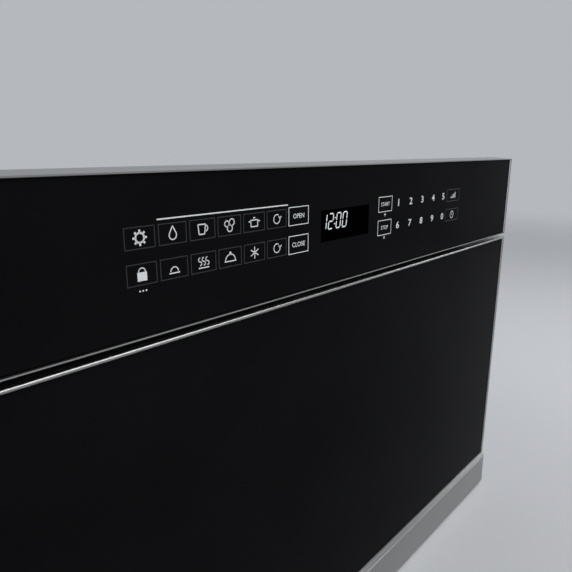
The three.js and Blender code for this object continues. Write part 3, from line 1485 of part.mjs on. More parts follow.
// Straight-sided teeth along the bar's edge, in step with the pinion.
function driveRack() {
  const addendum = GEAR_MODULE;
  const root = RACK_X + 1.25 * GEAR_MODULE;
  const halfPitchLine = (toothPitch / 2 - BACKLASH) / 2;
  const halfTip = halfPitchLine - addendum * Math.tan(PRESSURE_ANGLE);
  const halfRoot = halfPitchLine + 1.25 * GEAR_MODULE * Math.tan(PRESSURE_ANGLE);
  const start = behindDoor;
  const end = start + RACK_L;
  const first = Math.ceil((start + RACK_PLAIN - PINION_Y) / toothPitch) + 0.5;
  const points = [[root, start]];
  for (let step = first; PINION_Y + step * toothPitch + halfRoot < end - GEAR_MODULE; step++) {
    const y = PINION_Y + step * toothPitch;
    points.push([root, y - halfRoot]);
    points.push([RACK_X - addendum, y - halfTip]);
    points.push([RACK_X - addendum, y + halfTip]);
    points.push([root, y + halfRoot]);
  }
  points.push([root, end], [RACK_X + RACK_W, end], [RACK_X + RACK_W, start]);
  const bar = prism("z", points, RACK_Z, RACK_Z + RACK_T);
  const footLeft = root - RACK_W / 2;
  const footZ = RACK_Z - RACK_FOOT_DROP;
  const foot = block(footLeft, footLeft + RACK_FOOT_W, start, start + FOOT_T, footZ, RACK_Z + RACK_T);
  return join(bar, foot);
}

// Involute teeth: beyond the base circle the flank follows the curve that a taut string unwinds.
function pinionOutline() {
  const tipR = pinionR + GEAR_MODULE;
  const rootR = pinionR - 1.25 * GEAR_MODULE;
  const baseR = pinionR * Math.cos(PRESSURE_ANGLE);
  const involute = (angle) => Math.tan(angle) - angle;
  const halfAtPitch = (toothPitch / 2 - BACKLASH) / 2 / pinionR;
  const halfAngle = (r) => halfAtPitch + involute(PRESSURE_ANGLE) - involute(Math.acos(baseR / r));
  const flank = [0, 0.35, 0.7, 1].map((share) => baseR + share * (tipR - baseR));
  const polar = (r, angle) => [pinionX + r * Math.cos(angle), PINION_Y + r * Math.sin(angle)];
  const points = [];
  for (let tooth = 0; tooth < PINION_TEETH; tooth++) {
    const middle = (tooth / PINION_TEETH) * 2 * Math.PI;
    points.push(polar(rootR, middle - halfAngle(baseR)));
    for (const r of flank) points.push(polar(r, middle - halfAngle(r)));
    for (const r of [...flank].reverse()) points.push(polar(r, middle + halfAngle(r)));
    points.push(polar(rootR, middle + halfAngle(baseR)));
  }
  return points;
}

function drivePinion() {
  const wheel = prism("z", pinionOutline(), RACK_Z, RACK_Z + RACK_T);
  const shaft = rod("z", pinionX, PINION_Y, PINION_SHAFT_R, RACK_Z - PINION_SHAFT_L, RACK_Z + 1, 16);
  return join(wheel, shaft);
}

// A worm gear motor: a flat round gear case under the pinion, with the motor along its side.
function driveMotor() {
  const top = RACK_Z - PINION_CLEAR;
  const foot = onBase;
  const gearCase = rod("z", pinionX, PINION_Y, GEARCASE_R, foot, top, 32);
  const motorX = pinionX - GEARCASE_R;
  const motorZ = foot + MOTOR_R;
  const neckBack = PINION_Y + NECK_BACK;
  const neck = block(motorX - NECK_W / 2, motorX + NECK_W / 2, PINION_Y - NECK_FRONT, neckBack, foot, top);
  const can = rod("y", motorX, motorZ, MOTOR_R, neckBack - 1, neckBack - 1 + MOTOR_L, 24);
  const ears = [-1, 1].map((side) => {
    const y = PINION_Y + side * (GEARCASE_R - 2);
    return rod("z", pinionX + GEAR_EAR_X, y, GEAR_EAR_R, foot, foot + GEAR_EAR_H, 16);
  });
  const bore = rod("z", pinionX, PINION_Y, PINION_SHAFT_R + RUNNING_FIT, top - GEARCASE_T / 2, top + 1, 20);
  return cut(join(gearCase, neck, can, ...ears), bore);
}

piece("drawer_rack", "whitePlastic", driveRack());
piece("drive_pinion", "whitePlastic", drivePinion());
piece("drive_motor", "blackPlastic", driveMotor());

// ---------------------------------------------------------------- latch hooks and their switches

const hookEnd = behindDoor + HOOK_L;
const switchFront = hookEnd + FIT + PLUNGER_OUT;

// A hook with a sloped nose and a barb under it, on a foot that is bolted to the door.
function latchHook(side) {
  const low = HOOK_Z - HOOK_H / 2;
  const high = HOOK_Z + HOOK_H / 2;
  const arm = [
    [behindDoor, low],
    [hookEnd - BARB_L, low],
    [hookEnd - BARB_L + 1, low - BARB_DROP],
    [hookEnd, low + NOSE_CHAMFER],
    [hookEnd, high - NOSE_CHAMFER],
    [hookEnd - 1.5 * NOSE_CHAMFER, high],
    [behindDoor, high],
  ];
  const half = HOOK_T / 2;
  const footW = HOOK_FOOT_W / 2;
  const footH = HOOK_FOOT_H / 2;
  const foot = roundedRectangle(hookX - footW, hookX + footW, HOOK_Z - footH, HOOK_Z + footH, 3);
  const hook = join(
    prism("x", arm, hookX - half, hookX + half),
    prism("y", foot, behindDoor, behindDoor + FOOT_T),
  );
  return side > 0 ? hook : hook.mirror([1, 0, 0]);
}

// A switch in its holder behind the front plate, with the bore that its plunger runs in.
function latchSwitch(side) {
  const half = SWITCH_W / 2;
  const z0 = HOOK_Z - SWITCH_H / 2;
  const z1 = HOOK_Z + SWITCH_H / 2;
  const body = block(hookX - half, hookX + half, switchFront, switchFront + SWITCH_L, z0, z1);
  const armX = hookX + half - 0.2;
  const arm = block(armX, armX + SWITCH_ARM_T, bayFront, switchFront + SWITCH_L, z0, z1);
  const over = SWITCH_FOOT_OVER;
  const foot = block(armX, armX + SWITCH_FOOT_W, bayFront, bayFront + SWITCH_FOOT_T, z0 - over, z1 + over);
  const boreBack = switchFront + PLUNGER_L - PLUNGER_OUT + PLUNGER_TRAVEL + 1;
  const bore = rod("y", hookX, HOOK_Z, PLUNGER_R + RUNNING_FIT, switchFront - 1, boreBack, 16);
  const holder = cut(join(body, arm, foot), bore);
  return side > 0 ? holder : holder.mirror([1, 0, 0]);
}

function switchPlunger(side) {
  const start = hookEnd + FIT;
  return rod("y", side * hookX, HOOK_Z, PLUNGER_R, start, start + PLUNGER_L, 16);
}

for (const [name, side] of [
  ["left", -1],
  ["right", 1],
]) {
  piece(`${name}_latch_hook`, "whitePlastic", latchHook(side));
  piece(`${name}_latch_switch`, "blackPlastic", latchSwitch(side));
  piece(`${name}_switch_plunger`, "whitePlastic", switchPlunger(side));
}

// The box runs from the lip's nose to the cord bushing, and its middle goes to the origin.
microwaveDrawer.position.y = (LIP_REACH - bodyBack - BUSH_HEAD) / 2;

export default microwaveDrawer;
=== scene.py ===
"""A built-in microwave drawer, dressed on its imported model.

Blender 4.5, metres, +X right, +Y into the cabinet, +Z up.
"""

import math
import random

import bmesh
import bpy
from mathutils import Matrix, Vector


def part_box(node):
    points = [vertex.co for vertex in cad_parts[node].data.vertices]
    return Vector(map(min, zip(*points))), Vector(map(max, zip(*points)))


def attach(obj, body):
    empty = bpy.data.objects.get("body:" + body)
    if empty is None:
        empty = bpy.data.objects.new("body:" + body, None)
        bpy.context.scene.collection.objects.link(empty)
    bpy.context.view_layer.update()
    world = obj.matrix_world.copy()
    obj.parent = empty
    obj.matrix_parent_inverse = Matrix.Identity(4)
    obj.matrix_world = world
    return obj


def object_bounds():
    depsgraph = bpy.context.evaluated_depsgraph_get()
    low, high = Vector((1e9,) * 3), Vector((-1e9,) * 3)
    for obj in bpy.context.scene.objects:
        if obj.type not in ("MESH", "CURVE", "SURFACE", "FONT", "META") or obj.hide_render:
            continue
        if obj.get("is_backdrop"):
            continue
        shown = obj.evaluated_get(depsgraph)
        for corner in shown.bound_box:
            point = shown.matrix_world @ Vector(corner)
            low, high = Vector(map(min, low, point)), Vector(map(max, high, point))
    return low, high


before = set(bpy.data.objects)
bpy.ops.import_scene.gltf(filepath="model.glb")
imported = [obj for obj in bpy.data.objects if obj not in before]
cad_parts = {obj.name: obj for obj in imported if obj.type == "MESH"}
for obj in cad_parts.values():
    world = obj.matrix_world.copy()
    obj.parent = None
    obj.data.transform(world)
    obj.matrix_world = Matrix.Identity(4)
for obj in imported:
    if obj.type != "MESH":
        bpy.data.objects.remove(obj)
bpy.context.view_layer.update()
scene = bpy.context.scene

# ------------------------------------------------------------------ camera
# It stands left of the oven's middle and a little above it, and looks along the front and down.
# The place and lens come from the front's straight edges in the photograph.

LEFT_OF_EDGE = 0.6096  # from the panel glass's right edge
BEFORE_GLASS = 0.2218
ABOVE_PANE_FOOT = 0.0904
TILT_DOWN = 14.347
TURN_RIGHT = 47.758
glass_low, glass_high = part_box("control_panel_glass")
camera_data = bpy.data.cameras.new("camera")
camera_data.lens = 33.59
camera_data.sensor_width = 36.0
camera_data.clip_start = 0.01
camera = bpy.data.objects.new("camera", camera_data)
camera.location = (
    glass_high.x - LEFT_OF_EDGE,
    glass_low.y - BEFORE_GLASS,
    glass_low.z + ABOVE_PANE_FOOT,
)
camera.rotation_euler = (math.radians(90 - TILT_DOWN), 0.0, math.radians(-TURN_RIGHT))
scene.collection.objects.link(camera)
scene.camera = camera
scene.view_settings.view_transform = "Standard"

# ------------------------------------------------------------------ floor, room and lamps
# A round pale studio floor fades out into an even room of nearly the same shade, so that no
# horizon shows. One soft box stands behind on the left, the others in front.

FLOOR_R = 4.0
FADE_FROM = FLOOR_R * 0.25  # whole up to here
FADE_TO = FLOOR_R * 0.95  # gone from here on
ROOM_LIGHT = 0.32  # on the object
ROOM_SHADE = 0.55  # behind it, in its mirrors and through its panes
floor_mesh = bmesh.new()
bmesh.ops.create_circle(floor_mesh, cap_ends=True, radius=FLOOR_R, segments=96)
floor_data = bpy.data.meshes.new("studio_floor")
floor_mesh.to_mesh(floor_data)
floor_mesh.free()
floor = bpy.data.objects.new("studio_floor", floor_data)
scene.collection.objects.link(floor)
floor_paint = bpy.data.materials.new("studio_floor_paint")
floor_paint.use_nodes = True
floor_shader = floor_paint.node_tree.nodes["Principled BSDF"]
floor_shader.inputs["Base Color"].default_value = (0.56, 0.57, 0.59, 1)
floor_shader.inputs["Roughness"].default_value = 0.9
floor_shader.inputs["Specular IOR Level"].default_value = 0.1
floor_nodes, floor_links = floor_paint.node_tree.nodes, floor_paint.node_tree.links
floor_place = floor_nodes.new("ShaderNodeTexCoord")
from_middle = floor_nodes.new("ShaderNodeVectorMath")
from_middle.operation = "LENGTH"
floor_links.new(floor_place.outputs["Object"], from_middle.inputs[0])
fade = floor_nodes.new("ShaderNodeMapRange")
fade.interpolation_type = "SMOOTHSTEP"
fade.inputs["From Min"].default_value = FADE_TO
fade.inputs["From Max"].default_value = FADE_FROM
floor_links.new(from_middle.outputs["Value"], fade.inputs["Value"])
floor_links.new(fade.outputs[0], floor_shader.inputs["Alpha"])
floor_data.materials.append(floor_paint)
floor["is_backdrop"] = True

room = bpy.data.worlds.new("room")
room.use_nodes = True
scene.world = room
room_nodes = room.node_tree.nodes
room_links = room.node_tree.links
room_light = room_nodes["Background"]
room_light.inputs["Color"].default_value = (0.84, 0.87, 0.92, 1)
ray = room_nodes.new("ShaderNodeLightPath")
seen = room_nodes.new("ShaderNodeMath")
seen.operation = "MAXIMUM"
room_links.new(ray.outputs["Is Camera Ray"], seen.inputs[0])
room_links.new(ray.outputs["Is Glossy Ray"], seen.inputs[1])
seen_through = room_nodes.new("ShaderNodeMath")
seen_through.operation = "MAXIMUM"
room_links.new(seen.outputs[0], seen_through.inputs[0])
room_links.new(ray.outputs["Is Transmission Ray"], seen_through.inputs[1])
level = room_nodes.new("ShaderNodeMapRange")
level.inputs["To Min"].default_value = ROOM_LIGHT
level.inputs["To Max"].default_value = ROOM_SHADE
room_links.new(seen_through.outputs[0], level.inputs["Value"])
room_links.new(level.outputs[0], room_light.inputs["Strength"])


def soft_box(name, place, aim, width, height, watts):
    """A rectangular lamp that stands at a place and looks at its aim."""
    lamp = bpy.data.lights.new(name, "AREA")
    lamp.shape = "RECTANGLE"
    lamp.size = width
    lamp.size_y = height
    lamp.energy = watts
    stand = bpy.data.objects.new(name, lamp)
    stand.location = place
    stand.rotation_euler = (Vector(aim) - Vector(place)).to_track_quat("-Z", "Y").to_euler()
    scene.collection.objects.link(stand)


PANEL_TOP = (0.0, -0.32, 0.3)
FRONT = (0.1, -0.3, 0.2)
soft_box("behind_left", (-1.5, 1.7, 2.3), (0.0, 0.0, 0.2), width=2.4, height=1.8, watts=35)
soft_box("overhead", (0.75, -1.05, 1.85), PANEL_TOP, width=1.8, height=0.9, watts=26)
soft_box("right_front", (2.0, -1.2, 0.9), FRONT, width=0.5, height=0.5, watts=4)
soft_box("left_front", (-1.7, -1.5, 0.8), FRONT, width=0.9, height=0.9, watts=14)

# ------------------------------------------------------------------ case: zinc-coated sheet
# The base, sides, cover, rear panel and front plate are folded from zinc-coated steel.
# The coating freezes in pale and dark crystals, with a faint rolling grain over them.


PATTERN_LOW = 0.3  # a pattern's useful range: below and above it, tint and gloss stay level
PATTERN_HIGH = 0.7


def coated(name, tints, roughness, metallic, relief):
    """A finish whose colour, gloss and relief follow a pattern. Also returns what it plugs into."""
    material = bpy.data.materials.new(name)
    material.use_nodes = True
    nodes, links = material.node_tree.nodes, material.node_tree.links
    shader = nodes["Principled BSDF"]
    shader.inputs["Metallic"].default_value = metallic
    tint = nodes.new("ShaderNodeValToRGB")
    tint.color_ramp.elements[0].position = PATTERN_LOW
    tint.color_ramp.elements[0].color = (*tints[0], 1)
    tint.color_ramp.elements[1].position = PATTERN_HIGH
    tint.color_ramp.elements[1].color = (*tints[1], 1)
    links.new(tint.outputs["Color"], shader.inputs["Base Color"])
    gloss = nodes.new("ShaderNodeMapRange")
    gloss.inputs["From Min"].default_value = PATTERN_LOW
    gloss.inputs["From Max"].default_value = PATTERN_HIGH
    gloss.inputs["To Min"].default_value = roughness[0]
    gloss.inputs["To Max"].default_value = roughness[1]
    links.new(gloss.outputs[0], shader.inputs["Roughness"])
    bump = nodes.new("ShaderNodeBump")
    bump.inputs["Strength"].default_value = 0.5
    bump.inputs["Distance"].default_value = relief
    links.new(bump.outputs["Normal"], shader.inputs["Normal"])
    return material, (tint.inputs["Fac"], gloss.inputs["Value"], bump.inputs["Height"])


def own_place(material, scale):
    """The piece's own coordinates in metres, times scale."""
    nodes, links = material.node_tree.nodes, material.node_tree.links
    place = nodes.new("ShaderNodeTexCoord")
    stretch = nodes.new("ShaderNodeMapping")
    stretch.inputs["Scale"].default_value = scale
    links.new(place.outputs["Object"], stretch.inputs["Vector"])
    return stretch.outputs["Vector"]


def plug_in(material, pattern, driven):
    """One pattern feeds the tint, the gloss and the relief."""
    for socket in driven:
        material.node_tree.links.new(pattern, socket)


def zinc_coat():
    material, driven = coated(
        "zinc_coat",
        [(0.40, 0.42, 0.43), (0.52, 0.54, 0.55)],
        (0.42, 0.56),
        metallic=0.92,
        relief=0.00001,
    )
    nodes, links = material.node_tree.nodes, material.node_tree.links
    crystal = nodes.new("ShaderNodeTexVoronoi")
    crystal.inputs["Scale"].default_value = 1.0
    links.new(own_place(material, (150, 150, 150)), crystal.inputs["Vector"])
    shade = nodes.new("ShaderNodeSeparateColor")
    links.new(crystal.outputs["Color"], shade.inputs["Color"])
    grain = nodes.new("ShaderNodeTexNoise")
    grain.inputs["Scale"].default_value = 1.0
    grain.inputs["Detail"].default_value = 3.0
    links.new(own_place(material, (30, 900, 900)), grain.inputs["Vector"])
    both = nodes.new("ShaderNodeMix")
    both.inputs[0].default_value = 0.55
    links.new(shade.outputs["Red"], both.inputs[2])
    links.new(grain.outputs[0], both.inputs[3])
    plug_in(material, both.outputs[0], driven)
    return material


def dress(material, *names):
    """Gives CAD nodes their finish."""
    for name in names:
        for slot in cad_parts[name].material_slots:
            slot.material = material


zinc = zinc_coat()
dress(
    zinc,
    "base_plate",
    "left_side_panel",
    "right_side_panel",
    "top_cover",
    "rear_panel",
    "front_plate",
)

# ------------------------------------------------------------------ case screws
# Pan-head screws with a cross recess, zinc plated. They fix the sides to the base and cover,
# and the rear panel to the sides' return flanges.

HEAD_R = 0.0036
HEAD_H = 0.0020
RECESS_W = 0.0009
RECESS_L = 0.0040
RECESS_D = 0.0012
SEAM_IN = 0.007  # a screw row's distance from the sheet's edge
END_IN = 0.03  # the first and last screw's distance from the row's ends


def mottled(name, tints, grain, roughness, metallic=0.0, relief=0.00002):
    """Paint, enamel, cast or moulded stuff: noise with grain waves per metre along each axis."""
    material, driven = coated(name, tints, roughness, metallic, relief)
    noise = material.node_tree.nodes.new("ShaderNodeTexNoise")
    noise.inputs["Scale"].default_value = 1.0
    noise.inputs["Detail"].default_value = 5.0
    material.node_tree.links.new(own_place(material, grain), noise.inputs["Vector"])
    plug_in(material, noise.outputs[0], driven)
    return material


def as_piece(name, shape, material, body):
    """A finished bmesh becomes an object, on a body and with the given finish in its slot."""
    for face in shape.faces:
        face.smooth = False
    data = bpy.data.meshes.new(name)
    shape.to_mesh(data)
    shape.free()
    data.materials.append(material)
    piece = bpy.data.objects.new(name, data)
    scene.collection.objects.link(piece)
    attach(piece, body)
    return piece


def screw_head():
    """One head on the XY plane, looking along +Z, with its cross cut out by a boolean."""
    head = bmesh.new()
    bmesh.ops.create_cone(
        head,
        cap_ends=True,
        segments=20,
        radius1=HEAD_R,
        radius2=HEAD_R * 0.92,
        depth=HEAD_H,
        matrix=Matrix.Translation((0, 0, HEAD_H / 2)),
    )
    rim = [edge for edge in head.edges if all(vert.co.z > HEAD_H * 0.9 for vert in edge.verts)]
    crown = {"offset": HEAD_R * 0.4, "segments": 3, "profile": 0.5}
    bmesh.ops.bevel(head, geom=rim, affect="EDGES", material=-1, **crown)
    head_data = bpy.data.meshes.new("screw_head")
    head.to_mesh(head_data)
    head.free()
    cross = bmesh.new()
    for turn in (0, math.pi / 2):
        arm = bmesh.ops.create_cube(cross, size=1.0)["verts"]
        bmesh.ops.scale(cross, verts=arm, vec=(RECESS_L, RECESS_W, RECESS_D * 2))
        bmesh.ops.rotate(cross, verts=arm, matrix=Matrix.Rotation(turn, 3, "Z"))
        lifted = HEAD_H + turn * 1e-6  # so that the two arms' faces are never level
        bmesh.ops.translate(cross, verts=arm, vec=(0, 0, lifted))
    cross_data = bpy.data.meshes.new("screw_cross")
    cross.to_mesh(cross_data)
    cross.free()
    head_object = bpy.data.objects.new("screw_head", head_data)
    cross_object = bpy.data.objects.new("screw_cross", cross_data)
    for item in (head_object, cross_object):
        scene.collection.objects.link(item)
    recess = head_object.modifiers.new("recess", "BOOLEAN")
    recess.operation = "DIFFERENCE"
    recess.solver = "EXACT"
    recess.use_self = True
    recess.object = cross_object
    made = bpy.data.meshes.new_from_object(
        head_object.evaluated_get(bpy.context.evaluated_depsgraph_get())
    )
    for item in (head_object, cross_object):
        bpy.data.objects.remove(item)
    return made


one_screw = screw_head()
FACING = {
    "+X": Matrix.Rotation(math.pi / 2, 4, "Y"),
    "-X": Matrix.Rotation(-math.pi / 2, 4, "Y"),
    "+Y": Matrix.Rotation(-math.pi / 2, 4, "X"),
}
turns = random.Random(4)


def screws(name, places, facing, body, size=1.0):
    """A set of screws with each cross left at its own angle."""
    heads = bmesh.new()
    for place in places:
        turned = Matrix.Rotation(turns.uniform(0, math.pi / 2), 4, "Z") @ Matrix.Scale(size, 4)
        head = one_screw.copy()
        head.transform(Matrix.Translation(place) @ FACING[facing] @ turned)
        heads.from_mesh(head)
        bpy.data.meshes.remove(head)
    return as_piece(name, heads, screw_plating, body)


screw_plating = mottled(
    "screw_plating",
    [(0.50, 0.50, 0.48), (0.72, 0.71, 0.68)],
    (700, 700, 700),
    (0.22, 0.38),
    metallic=1.0,
)


def along_seam(low, high, count):
    """Evenly spaced places, from END_IN inside one end to END_IN inside the other."""
    return [low + END_IN + i * (high - low - 2 * END_IN) / (count - 1) for i in range(count)]


side_low, side_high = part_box("right_side_panel")
seam_rows = [side_low.z + SEAM_IN, side_high.z - SEAM_IN]
seam_places = along_seam(side_low.y, side_high.y, 5)
for word, side in (("left", -1), ("right", 1)):
    places = [(side * side_high.x, y, z) for y in seam_places for z in seam_rows]
    screws(f"{word}_side_screws", places, "+X" if side > 0 else "-X", "oven")
rear_low, rear_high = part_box("rear_panel")
rear_columns = (rear_low.x + SEAM_IN, rear_high.x - SEAM_IN)
rear_rows = along_seam(rear_low.z, rear_high.z, 4)
screws("rear_screws", [(x, rear_high.y, z) for x in rear_columns for z in rear_rows], "+Y", "oven")

# ------------------------------------------------------------------ cavity: baked enamel
# The cavity's sheets are grey enamel with a fine speckle. The plate over the stirrer is mica board,
# whose flakes lie flat in it.

cavity_enamel = mottled(
    "cavity_enamel", [(0.30, 0.31, 0.32), (0.42, 0.43, 0.44)], (900, 900, 900), (0.25, 0.42)
)
dress(
    cavity_enamel,
    "cavity_left_wall",
    "cavity_right_wall",
    "cavity_floor",
    "cavity_back_wall",
    "cavity_roof",
)
mica_board = mottled(
    "mica_board", [(0.52, 0.46, 0.36), (0.72, 0.66, 0.54)], (160, 160, 160), (0.28, 0.55)
)
dress(mica_board, "stirrer_cover")

# ------------------------------------------------------------------ microwave feed
# The waveguide is folded zinc sheet. The magnetron's fins, the stirrer's vanes and the
# capacitor's can are plain rolled aluminium.

rolled_aluminium = mottled(
    "rolled_aluminium",
    [(0.60, 0.61, 0.62), (0.78, 0.79, 0.80)],
    (40, 900, 900),
    (0.25, 0.42),
    metallic=1.0,
)
dress(zinc, "waveguide")
dress(rolled_aluminium, "magnetron", "stirrer_blade", "capacitor")
motor_plate = mottled(
    "motor_plate",
    [(0.42, 0.42, 0.40), (0.58, 0.58, 0.55)],
    (300, 300, 300),
    (0.3, 0.5),
    metallic=0.9,
)
dress(motor_plate, "stirrer_motor", "capacitor_bracket", "lamp_holder")

# ------------------------------------------------------------------ cooling air
# Shroud and duct are moulded in black glass-filled plastic, whose skin is finely pebbled.
# The fan is natural nylon. Its motor is a stack of varnished laminations.

black_moulding = mottled(
    "black_moulding",
    [(0.012, 0.012, 0.013), (0.030, 0.030, 0.031)],
    (1500, 1500, 1500),
    (0.45, 0.62),
)
natural_nylon = mottled(
    "natural_nylon", [(0.62, 0.60, 0.53), (0.76, 0.74, 0.67)], (220, 220, 220), (0.35, 0.50)
)
dress(black_moulding, "fan_shroud", "air_duct", "cord_bushing")
dress(natural_nylon, "fan_blade", "humidity_sensor")


def stacked_sheets():
    """Sheets seen on edge, in bands about a millimetre apart along Y."""
    material, driven = coated(
        "lamination_varnish",
        [(0.06, 0.06, 0.065), (0.22, 0.21, 0.20)],
        (0.35, 0.6),
        metallic=0.7,
        relief=0.0001,
    )
    nodes, links = material.node_tree.nodes, material.node_tree.links
    bands = nodes.new("ShaderNodeTexWave")
    bands.bands_direction = "Y"
    bands.inputs["Scale"].default_value = 1.0
    bands.inputs["Distortion"].default_value = 0.6
    bands.inputs["Detail"].default_value = 2.0
    links.new(own_place(material, (60, 300, 60)), bands.inputs["Vector"])
    plug_in(material, bands.outputs["Fac"], driven)
    return material


dress(stacked_sheets(), "fan_motor", "transformer_core")

# ------------------------------------------------------------------ windings
# Both transformer coils are wound in layers from varnished copper wire, so that their sides show
# the turns, one above the other.


def wound_wire():
    material, driven = coated(
        "wound_wire",
        [(0.16, 0.05, 0.02), (0.50, 0.22, 0.09)],
        (0.25, 0.45),
        metallic=0.6,
        relief=0.0004,
    )
    nodes, links = material.node_tree.nodes, material.node_tree.links
    turns_of_wire = nodes.new("ShaderNodeTexWave")
    turns_of_wire.bands_direction = "Z"
    turns_of_wire.wave_profile = "SIN"
    turns_of_wire.inputs["Scale"].default_value = 1.0
    links.new(own_place(material, (20, 20, 190)), turns_of_wire.inputs["Vector"])
    plug_in(material, turns_of_wire.outputs["Fac"], driven)
    return material


dress(wound_wire(), "primary_coil", "secondary_coil")

# ------------------------------------------------------------------ circuit boards
# The touch, power and filter boards are green, with tracks that show through the solder mask as
# a lighter maze.


def solder_mask():
    material, driven = coated(
        "solder_mask",
        [(0.010, 0.055, 0.022), (0.030, 0.120, 0.050)],
        (0.22, 0.40),
        metallic=0.0,
        relief=0.00005,
    )
    nodes, links = material.node_tree.nodes, material.node_tree.links
    tracks = nodes.new("ShaderNodeTexBrick")
    tracks.inputs["Scale"].default_value = 1.0
    tracks.inputs["Mortar Size"].default_value = 0.12
    tracks.inputs["Color1"].default_value = (0.1, 0.1, 0.1, 1)
    tracks.inputs["Color2"].default_value = (0.35, 0.35, 0.35, 1)
    tracks.inputs["Mortar"].default_value = (0.9, 0.9, 0.9, 1)
    links.new(own_place(material, (120, 160, 120)), tracks.inputs["Vector"])
    plug_in(material, tracks.outputs["Color"], driven)
    return material


dress(solder_mask(), "touch_board", "power_board", "noise_filter_board")

# ------------------------------------------------------------------ oven lamp
# A clear bulb sits in its plated cup, behind the holes in the cavity's wall. The same clear glass
# serves the drawer's inner pane.


def clear_glass(name, tint, roughness):
    material = mottled(name, [tint, tint], (60, 60, 60), (roughness, roughness + 0.03))
    shader = material.node_tree.nodes["Principled BSDF"]
    shader.inputs["Transmission Weight"].default_value = 1.0
    shader.inputs["IOR"].default_value = 1.5
    return material


dress(clear_glass("lamp_glass", (0.92, 0.93, 0.90), 0.05), "oven_lamp")

# ------------------------------------------------------------------ slides, rack and drive
# The slides are rolled from zinc-plated strip, whose streaks run along them. The rack, pinion,
# hooks and plungers are nylon. The gear motor and switches are black mouldings.

drawn_steel = mottled(
    "drawn_steel",
    [(0.46, 0.48, 0.50), (0.68, 0.70, 0.71)],
    (900, 12, 900),
    (0.20, 0.36),
    metallic=1.0,
)
dress(
    drawn_steel,
    "left_outer_rail",
    "left_mid_rail",
    "left_inner_rail",
    "right_outer_rail",
    "right_mid_rail",
    "right_inner_rail",
)
dress(
    natural_nylon,
    "drawer_rack",
    "drive_pinion",
    "left_latch_hook",
    "right_latch_hook",
    "left_switch_plunger",
    "right_switch_plunger",
)
dress(black_moulding, "drive_motor", "left_latch_switch", "right_latch_switch")

# ------------------------------------------------------------------ bright trim
# The panel's rim, the drawer's edges and the strip under the glass are stainless steel,
# brushed along their length to a fine straight grain. The drawer's top edge is rolled over.

# Both tints sit well below bright stainless steel: painted shade, for a dark room mirrored in the
# steel.
STEEL_TINTS_WITH_PAINTED_SHADE = [(0.31, 0.31, 0.305), (0.37, 0.37, 0.365)]
ROLLED_R = 0.0022
FINE_RELIEF = 0.000001


def brushed_steel(name, roughness, drawn_out):
    """The grain runs along X, and upwards on the ends. It draws highlights out across itself."""
    material, driven = coated(name, STEEL_TINTS_WITH_PAINTED_SHADE, roughness, metallic=1.0, relief=FINE_RELIEF)
    nodes, links = material.node_tree.nodes, material.node_tree.links
    nodes["Principled BSDF"].inputs["Anisotropic"].default_value = drawn_out
    across_grain = nodes.new("ShaderNodeTangent")
    across_grain.direction_type = "RADIAL"
    across_grain.axis = "X"
    links.new(across_grain.outputs["Tangent"], nodes["Principled BSDF"].inputs["Tangent"])
    grains = []
    for grain in ((5, 1400, 1400), (1400, 1400, 5)):
        noise = nodes.new("ShaderNodeTexNoise")
        noise.inputs["Scale"].default_value = 1.0
        links.new(own_place(material, grain), noise.inputs["Vector"])
        grains.append(noise.outputs[0])
    facing = nodes.new("ShaderNodeTexCoord")
    apart = nodes.new("ShaderNodeSeparateXYZ")
    links.new(facing.outputs["Normal"], apart.inputs[0])
    sideways = nodes.new("ShaderNodeMath")
    sideways.operation = "ABSOLUTE"
    links.new(apart.outputs["X"], sideways.inputs[0])
    either = nodes.new("ShaderNodeMix")
    links.new(sideways.outputs[0], either.inputs[0])
    links.new(grains[0], either.inputs[2])
    links.new(grains[1], either.inputs[3])
    plug_in(material, either.outputs[0], driven)
    return material


dress(brushed_steel("brushed_rim", (0.22, 0.32), 0.3), "control_panel_trim")
dress(brushed_steel("brushed_strip", (0.32, 0.42), 0.75), "drawer_lower_strip")
rolled_edge = brushed_steel("rolled_edge", (0.20, 0.30), 0.3)
rolled = rolled_edge.node_tree.nodes.new("ShaderNodeBevel")
rolled.samples = 12
rolled.inputs["Radius"].default_value = ROLLED_R
rolled_edge.node_tree.links.new(
    rolled.outputs["Normal"], rolled_edge.node_tree.nodes["Bump"].inputs["Normal"]
)
dress(rolled_edge, "drawer_edge_trim")

# ------------------------------------------------------------------ edge beads
# Down each side of both panes the sheet's edge is rolled inwards to a fine bead, which covers the
# glass's cut edge and shows from the front as a bright line.

BEAD_R = 0.0011
WALL_T = 0.0008
CLEAR_Y = 0.00003  # off the pane and the edge's front, so that no faces are level
CLEAR_X = 0.00002  # off the edge's wall


def add_part(whole, part):
    """Adds one bmesh to another and frees it."""
    carrier = bpy.data.meshes.new("carrier")
    part.to_mesh(carrier)
    part.free()
    whole.from_mesh(carrier)
    bpy.data.meshes.remove(carrier)


